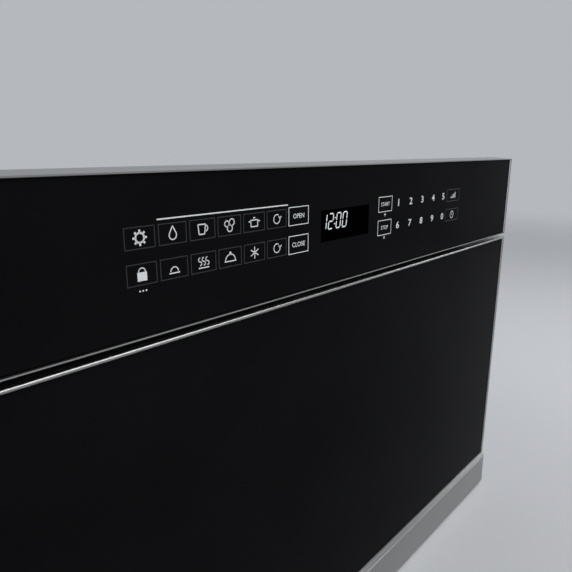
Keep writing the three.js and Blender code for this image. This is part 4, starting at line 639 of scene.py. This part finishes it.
def edge_beads(name, trim, glass, body):
    """A quarter-round down each side, between the pane's face and the edge's proud front."""
    trim_low, trim_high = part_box(trim)
    pane_low, pane_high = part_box(glass)
    seat_x = trim_high.x - WALL_T - CLEAR_X
    seat_y = pane_low.y - CLEAR_Y
    reach = seat_y - trim_low.y - CLEAR_Y
    tall = pane_high.z - pane_low.z
    beads = bmesh.new()
    for side in (-1, 1):
        bead = bmesh.new()
        bmesh.ops.create_cone(
            bead, cap_ends=True, segments=24, radius1=1.0, radius2=1.0, depth=tall
        )
        for cut in ((side, 0, 0), (0, 1, 0)):
            parts = [*bead.verts, *bead.edges, *bead.faces]
            bmesh.ops.bisect_plane(
                bead, geom=parts, plane_co=(0, 0, 0), plane_no=cut, clear_outer=True
            )
            open_edges = [edge for edge in bead.edges if edge.is_boundary]
            bmesh.ops.holes_fill(bead, edges=open_edges, sides=0)
        bmesh.ops.recalc_face_normals(bead, faces=bead.faces)
        seat = Matrix.Translation((side * seat_x, seat_y, (pane_low.z + pane_high.z) / 2))
        bead.transform(seat @ Matrix.Diagonal((BEAD_R, reach, 1, 1)))
        add_part(beads, bead)
    as_piece(name, beads, bead_steel, body)


# The beads take the same steel tints, with the same painted shade in them.
bead_steel = mottled(
    "bead_steel",
    STEEL_TINTS_WITH_PAINTED_SHADE,
    (1400, 1400, 6),
    (0.24, 0.34),
    metallic=1.0,
    relief=FINE_RELIEF,
)
edge_beads("panel_edge_beads", "control_panel_trim", "control_panel_glass", "oven")
edge_beads("drawer_edge_beads", "drawer_edge_trim", "drawer_glass", "drawer")

# ------------------------------------------------------------------ black glass
# Both front panes are tempered glass printed black on the back. They are almost mirror smooth,
# with the faint haze that wiping leaves.


def black_glass(name):
    wiped = [(0.0044, 0.0044, 0.0048), (0.0057, 0.0057, 0.0062)]
    material = mottled(name, wiped, (14, 14, 14), (0.03, 0.07))
    shader = material.node_tree.nodes["Principled BSDF"]
    shader.inputs["IOR"].default_value = 1.5
    shader.inputs["Specular IOR Level"].default_value = 0.010
    return material


dress(black_glass("printed_glass"), "control_panel_glass", "drawer_glass")
dress(black_moulding, "control_panel_housing", "display_module")

# ------------------------------------------------------------------ touch keys
# Ink is fired on the glass: a white rule over the first keys, dark grey boxes round the function
# keys, and white frames, words and digits. Places are measured from the panel's lower right corner.

INK_OFF = 0.00003  # the ink's back is proud of the glass, so that the two are never level
INK_T = 0.6 * INK_OFF
MM = 0.001
panel_low, panel_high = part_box("control_panel_trim")


def on_panel(x, z):
    """Millimetres from the panel's right edge (left is negative) and over its foot, to metres."""
    return Vector((panel_high.x + x * MM, glass_low.y - INK_OFF, panel_low.z + z * MM))


UPRIGHT = Matrix.Rotation(math.pi / 2, 4, "X")  # from the XY plane to the front's plane


def stroke(ink, x0, z0, x1, z1, wide):
    """A straight line of ink between two points in millimetres, a little past both ends."""
    start, end = Vector((x0, z0)), Vector((x1, z1))
    verts = bmesh.ops.create_grid(ink, x_segments=1, y_segments=1, size=0.5)["verts"]
    bmesh.ops.scale(ink, verts=verts, vec=((end - start).length + wide * 0.2, wide, 1))
    angle = math.atan2(z1 - z0, x1 - x0)
    bmesh.ops.rotate(ink, verts=verts, matrix=Matrix.Rotation(angle, 3, "Z"))
    bmesh.ops.translate(ink, verts=verts, vec=((x0 + x1) / 2, (z0 + z1) / 2, 0))


def disc(ink, x, z, r, sides=16):
    verts = bmesh.ops.create_circle(ink, cap_ends=True, radius=r, segments=sides)["verts"]
    bmesh.ops.translate(ink, verts=verts, vec=(x, z, 0))


def bow(ink, x, z, r, wide, from_deg, to_deg, steps=12):
    """Part of a ring, as short strokes end to end."""
    angles = [math.radians(from_deg + (to_deg - from_deg) * i / steps) for i in range(steps + 1)]
    points = [(x + r * math.cos(a), z + r * math.sin(a)) for a in angles]
    for start, end in zip(points, points[1:]):
        stroke(ink, *start, *end, wide)


def box_outline(ink, x0, x1, z0, z1, wide):
    """A frame of ink: a rectangle inset by the line's width, its middle taken out."""
    verts = bmesh.ops.create_grid(ink, x_segments=1, y_segments=1, size=0.5)["verts"]
    bmesh.ops.scale(ink, verts=verts, vec=(x1 - x0, z1 - z0, 1))
    bmesh.ops.translate(ink, verts=verts, vec=((x0 + x1) / 2, (z0 + z1) / 2, 0))
    middle = list({face for vert in verts for face in vert.link_faces})
    bmesh.ops.inset_region(
        ink, faces=middle, thickness=wide, use_boundary=True, use_even_offset=True
    )
    bmesh.ops.delete(ink, geom=middle, context="FACES")


def printed(name, ink, material):
    """Stands the finished drawing up on the glass and gives it a real, very thin body."""
    faces = list(ink.faces)
    grown = bmesh.ops.extrude_face_region(ink, geom=faces)["geom"]
    lifted = [item for item in grown if isinstance(item, bmesh.types.BMVert)]
    bmesh.ops.translate(ink, verts=lifted, vec=(0, 0, INK_T / MM))
    bmesh.ops.recalc_face_normals(ink, faces=ink.faces)
    ink.transform(Matrix.Translation(on_panel(0, 0)) @ UPRIGHT @ Matrix.Scale(MM, 4))
    return as_piece(name, ink, material, "oven")


def fired_ink(name, colour, glow):
    """Matt ink in nearly one colour that glows at the given strength: on the clock's figures the
    display's own light, on the white ink a painted glow.
    """
    shade = [tuple(0.93 * c for c in colour), colour]
    material = mottled(name, shade, (800, 800, 800), (0.35, 0.45))
    shader = material.node_tree.nodes["Principled BSDF"]
    shader.inputs["Emission Color"].default_value = (*colour, 1)
    shader.inputs["Emission Strength"].default_value = glow
    return material


# The white ink's glow is painted light: no lamp stands behind the glass.
white_ink = fired_ink("white_ink", (0.62, 0.63, 0.64), 0.12)
dim_ink = fired_ink("dim_ink", (0.011, 0.011, 0.012), 0.0)

KEY_ROWS = (50.6, 32.7)  # middles of the two rows of keys
KEY_COLUMNS = [-470.5 + 19.15 * i for i in range(6)]
KEY_W = 17.3
KEY_H = 11.0
LINE = 0.5
RULE_LINE = 0.7
COMMAND_KEYS = {
    "OPEN": (-354.4, 50.9),
    "CLOSE": (-354.4, 32.7),
    "START": (-252.3, 50.7),
    "STOP": (-252.3, 32.7),
}
COMMAND_W = 19.4
COMMAND_H = 11.8
DIGIT_COLUMNS = (-232.8, -213.3, -194.2, -174.7, -155.5)
DIGIT_H = 5.6
DIGIT_SQUEEZE = 1.3  # width over the typeface's own
DIGIT_BOLDER = 0.014  # outline, in parts of the letter's body
LETTER_H = 3.0
LETTER_SQUEEZE = 1.0
LETTER_BOLDER = 0.004
FAR_KEY = (-148.8, -123.0)
RULE = (-460.3, 58.4, -364.7, 58.4)

rule = bmesh.new()
stroke(rule, *RULE, RULE_LINE)
printed("rule_line", rule, white_ink)

outlines = bmesh.new()
for left, right in [(x - KEY_W / 2, x + KEY_W / 2) for x in KEY_COLUMNS] + [FAR_KEY]:
    for z in KEY_ROWS:
        box_outline(outlines, left, right, z - KEY_H / 2, z + KEY_H / 2, LINE)
printed("key_outlines", outlines, dim_ink)

frames = bmesh.new()
for x, z in COMMAND_KEYS.values():
    edges = (x - COMMAND_W / 2, x + COMMAND_W / 2, z - COMMAND_H / 2, z + COMMAND_H / 2)
    box_outline(frames, *edges, LINE)
printed("command_frames", frames, white_ink)


def lettering(name, words, bolder):
    """Words or digits in a plain sans serif, centred on their places and scaled to their height."""
    ink = bmesh.new()
    for text, x, z, tall, squeeze in words:
        curve = bpy.data.curves.new("lettering", "FONT")
        curve.body = text
        curve.resolution_u = 4
        curve.offset = bolder
        line = bpy.data.objects.new("lettering", curve)
        scene.collection.objects.link(line)
        depsgraph = bpy.context.evaluated_depsgraph_get()
        made = bpy.data.meshes.new_from_object(line.evaluated_get(depsgraph))
        bpy.data.objects.remove(line)
        low = Vector(map(min, *(vert.co for vert in made.vertices)))
        high = Vector(map(max, *(vert.co for vert in made.vertices)))
        scale = tall / (high.y - low.y)
        centre = (low + high) / 2
        place = Matrix.Translation((x, z, 0)) @ Matrix.Diagonal((scale * squeeze, scale, 1, 1))
        made.transform(place @ Matrix.Translation(-centre))
        ink.from_mesh(made)
        bpy.data.meshes.remove(made)
    bmesh.ops.remove_doubles(ink, verts=ink.verts, dist=0.001)
    printed(name, ink, white_ink)


digit_places = [(x, z) for z in KEY_ROWS for x in DIGIT_COLUMNS]
digits = [(d, x, z, DIGIT_H, DIGIT_SQUEEZE) for d, (x, z) in zip("1234567890", digit_places)]
lettering("digits", digits, DIGIT_BOLDER)
command_words = [(w, x, z, LETTER_H, LETTER_SQUEEZE) for w, (x, z) in COMMAND_KEYS.items()]
lettering("command_words", command_words, LETTER_BOLDER)

# ------------------------------------------------------------------ key signs
# Plain drawn signs stand in the function keys, in the same white ink. Each is drawn about its own
# middle, in millimetres, and then put in its key.

SIGN_SIZE = 1.25
NOTE_SIZE = 1.0
BOLD_LINE = 0.8
NOTE_ROWS = (42.7, 24.9)  # the small notes under START and STOP
HOLD_ROW = 24.4  # the dots under the first lower key


def gear_sign(ink):
    bow(ink, 0, 0, 1.9, BOLD_LINE, 0, 360, 20)
    for i in range(8):
        across, up = math.cos(math.radians(45 * i)), math.sin(math.radians(45 * i))
        stroke(ink, 2.2 * across, 2.2 * up, 3.1 * across, 3.1 * up, BOLD_LINE)


def padlock_sign(ink):
    for i in range(5):
        stroke(ink, -2.1, -2.3 + 0.7 * i, 2.1, -2.3 + 0.7 * i, 0.72)
    bow(ink, 0, 1.0, 1.5, LINE, 0, 180)


def drop_sign(ink):
    bow(ink, 0, -0.7, 1.8, LINE, 150, 390)
    for side in (-1, 1):
        stroke(ink, side * 1.56, 0.2, 0, 3.0, LINE)


def cup_sign(ink):
    stroke(ink, -2.4, 2.1, -1.9, -2.1, LINE)
    stroke(ink, 1.6, 2.1, 1.1, -2.1, LINE)
    stroke(ink, -1.9, -2.1, 1.1, -2.1, LINE)
    stroke(ink, -2.4, 2.1, 1.6, 2.1, LINE)
    bow(ink, 1.5, 0.3, 1.3, LINE, -80, 80, 6)


def puffs_sign(ink):
    for x, z, r in ((-1.6, 0.9, 1.3), (1.3, 1.4, 1.5), (0.1, -1.2, 1.5)):
        bow(ink, x, z, r, LINE, 0, 360, 12)


def pot_sign(ink):
    stroke(ink, -2.6, 1.0, 2.6, 1.0, LINE)
    stroke(ink, -2.2, -2.0, 2.2, -2.0, LINE)
    stroke(ink, -0.6, 2.1, 0.6, 2.1, LINE)
    for side in (-1, 1):
        stroke(ink, side * 2.2, 1.0, side * 2.2, -2.0, LINE)
        stroke(ink, side * 2.2, 0.4, side * 3.6, 0.4, LINE)


def again_sign(ink):
    bow(ink, 0, 0, 2.2, LINE, 60, 360, 16)
    stroke(ink, 2.2, 0, 1.3, 1.2, LINE)
    stroke(ink, 2.2, 0, 3.2, 1.2, LINE)


def soft_sign(ink):
    stroke(ink, -2.6, -2.0, 2.6, -2.0, LINE)
    bow(ink, 0, -1.4, 1.9, LINE, 0, 180)


def warm_sign(ink):
    for x in (-2.0, 0.0, 2.0):
        bow(ink, x, -0.35, 0.85, LINE, -90, 90, 6)
        bow(ink, x, 1.35, 0.85, LINE, 90, 270, 6)
    stroke(ink, -2.8, -2.3, 2.8, -2.3, LINE)


def cover_sign(ink):
    bow(ink, 0, -1.6, 3.0, LINE, 0, 180, 14)
    stroke(ink, -3.4, -1.8, 3.4, -1.8, LINE)
    disc(ink, 0, 2.0, 0.6)


def flake_sign(ink):
    for i in range(3):
        angle = math.radians(90 + 60 * i)
        x, z = 2.8 * math.cos(angle), 2.8 * math.sin(angle)
        stroke(ink, -x, -z, x, z, LINE)


def steps_sign(ink):
    for i in range(5):
        stroke(ink, -3.2 + 1.6 * i, -2.0, -3.2 + 1.6 * i, -1.1 + 0.8 * i, BOLD_LINE)


def clock_sign(ink):
    bow(ink, 0, 0, 2.5, LINE, 0, 360, 20)
    stroke(ink, 0, 0, 0, 1.7, LINE)
    stroke(ink, 0, 0, 1.2, -0.5, LINE)


def plus_sign(ink):
    stroke(ink, -1.4, 0, 1.4, 0, LINE)
    stroke(ink, 0, -1.4, 0, 1.4, LINE)


def cross_sign(ink):
    stroke(ink, -1.0, -1.0, 1.0, 1.0, LINE)
    stroke(ink, -1.0, 1.0, 1.0, -1.0, LINE)


def hold_sign(ink):
    for i in (-1, 0, 1):
        disc(ink, 1.8 * i, 0, 0.45, 10)


upper_signs = (gear_sign, drop_sign, cup_sign, puffs_sign, pot_sign, again_sign)
lower_signs = (padlock_sign, soft_sign, warm_sign, cover_sign, flake_sign, again_sign)
far_x = sum(FAR_KEY) / 2
start_x = COMMAND_KEYS["START"][0]
SIGN_PLACES = [
    *((sign, x, KEY_ROWS[0], SIGN_SIZE) for sign, x in zip(upper_signs, KEY_COLUMNS)),
    *((sign, x, KEY_ROWS[1], SIGN_SIZE) for sign, x in zip(lower_signs, KEY_COLUMNS)),
    (steps_sign, far_x, KEY_ROWS[0], SIGN_SIZE),
    (clock_sign, far_x, KEY_ROWS[1], SIGN_SIZE),
    (hold_sign, KEY_COLUMNS[0], HOLD_ROW, NOTE_SIZE),
    (plus_sign, start_x, NOTE_ROWS[0], NOTE_SIZE),
    (cross_sign, start_x, NOTE_ROWS[1], NOTE_SIZE),
]
signs = bmesh.new()
for sign, x, z, size in SIGN_PLACES:
    one_sign = bmesh.new()
    sign(one_sign)
    one_sign.transform(Matrix.Translation((x, z, 0)) @ Matrix.Diagonal((size, size, 1, 1)))
    add_part(signs, one_sign)
printed("key_signs", signs, white_ink)

# ------------------------------------------------------------------ display
# The window is darker than the glass round it. Its lit figures have seven segments and lean a
# little to the right.

WINDOW_X = -303.3
WINDOW_Z = 41.4
WINDOW_W = 52.4
WINDOW_H = 21.4
window = bmesh.new()
stroke(window, WINDOW_X - WINDOW_W / 2, WINDOW_Z, WINDOW_X + WINDOW_W / 2, WINDOW_Z, WINDOW_H)
window_film = mottled(
    "window_film", [(0.0002, 0.0002, 0.0003), (0.0005, 0.0005, 0.0006)], (90, 90, 90), (0.10, 0.16)
)
window_film.node_tree.nodes["Principled BSDF"].inputs["Specular IOR Level"].default_value = 0.0
printed("display_window", window, window_film)

SEGMENTS = {"0": "abcdef", "1": "bc", "2": "abged"}
FIGURE_W = 4.6
FIGURE_H = 10.2
FIGURE_PITCH = 7.2
SEGMENT_T = 0.85
LEAN = math.tan(math.radians(8))
LIT_FOOT = 39.0
LIT_LEFT = -331.1
COLON_GAP = 1.4  # more room between the hours and the minutes
COLON_BACK = 0.5  # the colon stands this far before the minutes' place
COLON_R = 0.55
ABOVE_FILM = 0.02  # proud of the window's film


def figure(ink, number, left):
    """One figure's lit bars: a at the top, b and c down the right, d at the foot, e and f up the
    left, g across."""
    right, middle, top = left + FIGURE_W, LIT_FOOT + FIGURE_H / 2, LIT_FOOT + FIGURE_H
    half = SEGMENT_T * 0.62
    bars = {
        "a": (left + half, top, right - half, top),
        "b": (right, middle + half, right, top - half),
        "c": (right, LIT_FOOT + half, right, middle - half),
        "d": (left + half, LIT_FOOT, right - half, LIT_FOOT),
        "e": (left, LIT_FOOT + half, left, middle - half),
        "f": (left, middle + half, left, top - half),
        "g": (left + half, middle, right - half, middle),
    }
    for name in SEGMENTS[number]:
        stroke(ink, *bars[name], SEGMENT_T)


clock = bmesh.new()
for index, number in enumerate("1200"):
    figure(clock, number, LIT_LEFT + index * FIGURE_PITCH + (COLON_GAP if index > 1 else 0.0))
colon_x = LIT_LEFT + 2 * FIGURE_PITCH - COLON_BACK
for z in (LIT_FOOT + FIGURE_H * 0.3, LIT_FOOT + FIGURE_H * 0.7):
    disc(clock, colon_x, z, COLON_R)
for vert in clock.verts:
    vert.co.x += (vert.co.y - LIT_FOOT) * LEAN
    vert.co.z += ABOVE_FILM
printed("clock_figures", clock, fired_ink("lit_bar", (0.66, 0.70, 0.72), 0.32))

# ------------------------------------------------------------------ drawer door
# A folded black frame carries the glass. Behind the glass is a perforated screen, black and pierced
# by a fine grid of holes, drawn as dots of painted shade, and at the back a clear pane that keeps it
# clean.

door_enamel = mottled(
    "door_enamel", [(0.010, 0.010, 0.011), (0.022, 0.022, 0.024)], (700, 700, 700), (0.30, 0.48)
)
dress(door_enamel, "drawer_frame")
dress(black_moulding, "choke_cover")


def pierced_screen():
    """Round holes on a square grid, 2 mm apart, drawn as dark dots of painted shade on the enamel."""
    material, driven = coated(
        "pierced_screen",
        [(0.002, 0.002, 0.002), (0.035, 0.035, 0.037)],
        (0.9, 0.4),
        metallic=0.0,
        relief=0.0002,
    )
    nodes, links = material.node_tree.nodes, material.node_tree.links
    apart = nodes.new("ShaderNodeSeparateXYZ")
    links.new(own_place(material, (500, 500, 500)), apart.inputs["Vector"])
    waves = []
    for axis in ("X", "Z"):
        angle = nodes.new("ShaderNodeMath")
        angle.operation = "MULTIPLY"
        angle.inputs[1].default_value = 2 * math.pi
        links.new(apart.outputs[axis], angle.inputs[0])
        swing = nodes.new("ShaderNodeMath")
        swing.operation = "COSINE"
        links.new(angle.outputs[0], swing.inputs[0])
        waves.append(swing)
    total = nodes.new("ShaderNodeMath")
    total.operation = "ADD"
    links.new(waves[0].outputs[0], total.inputs[0])
    links.new(waves[1].outputs[0], total.inputs[1])
    # Dark dots where the holes are: painted shade, the unlit inside seen through them.
    hole_shade = nodes.new("ShaderNodeMapRange")
    hole_shade.inputs["From Min"].default_value = 0.9
    hole_shade.inputs["From Max"].default_value = 0.5
    links.new(total.outputs[0], hole_shade.inputs["Value"])
    plug_in(material, hole_shade.outputs[0], driven)
    return material


dress(pierced_screen(), "window_screen")
dress(clear_glass("inner_pane", (0.93, 0.95, 0.94), 0.02), "inner_window")

# ------------------------------------------------------------------ drawer pan
# The pan is drawn from sheet and enamelled like the cavity. A dark glass-ceramic plate lies in
# it, with a faint mottle.

dress(cavity_enamel, "drawer_pan")
dark_ceramic = mottled(
    "dark_ceramic", [(0.030, 0.030, 0.032), (0.052, 0.052, 0.054)], (500, 500, 500), (0.12, 0.22)
)
dress(dark_ceramic, "ceramic_floor")

# ------------------------------------------------------------------ door fixings
# Screws through the feet of the slides, the rack and the hooks hold them to the door's frame.
# Those of the hooks are the smallest.

FOOT_T = 0.0012
RAIL_COLUMN = 0.008  # in from the foot's inner side
RAIL_APART = 0.009  # above and below the foot's middle
HOOK_APART = 0.0085
RACK_IN = 0.007  # in from the rack's foot's corner


def pair(x, y, low, high, apart):
    """Two places, one above and one below the middle between low and high."""
    return [(x, y, (low + high) / 2 + dz) for dz in (-apart, apart)]


for word, side in (("left", -1), ("right", 1)):
    low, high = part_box(f"{word}_inner_rail")
    column = (low.x if side > 0 else high.x) + side * RAIL_COLUMN
    foot_y = low.y + FOOT_T
    rail_places = pair(column, foot_y, low.z, high.z, RAIL_APART)
    screws(f"{word}_rail_screws", rail_places, "+Y", "drawer", size=0.9)
    low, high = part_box(f"{word}_latch_hook")
    hook_places = pair((low.x + high.x) / 2, foot_y, low.z, high.z, HOOK_APART)
    screws(f"{word}_hook_screws", hook_places, "+Y", "drawer", size=0.6)
low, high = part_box("drawer_rack")
screws("rack_screws", [(high.x - RACK_IN, low.y + FOOT_T, low.z + RACK_IN)], "+Y", "drawer", size=0.9)

low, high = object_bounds()
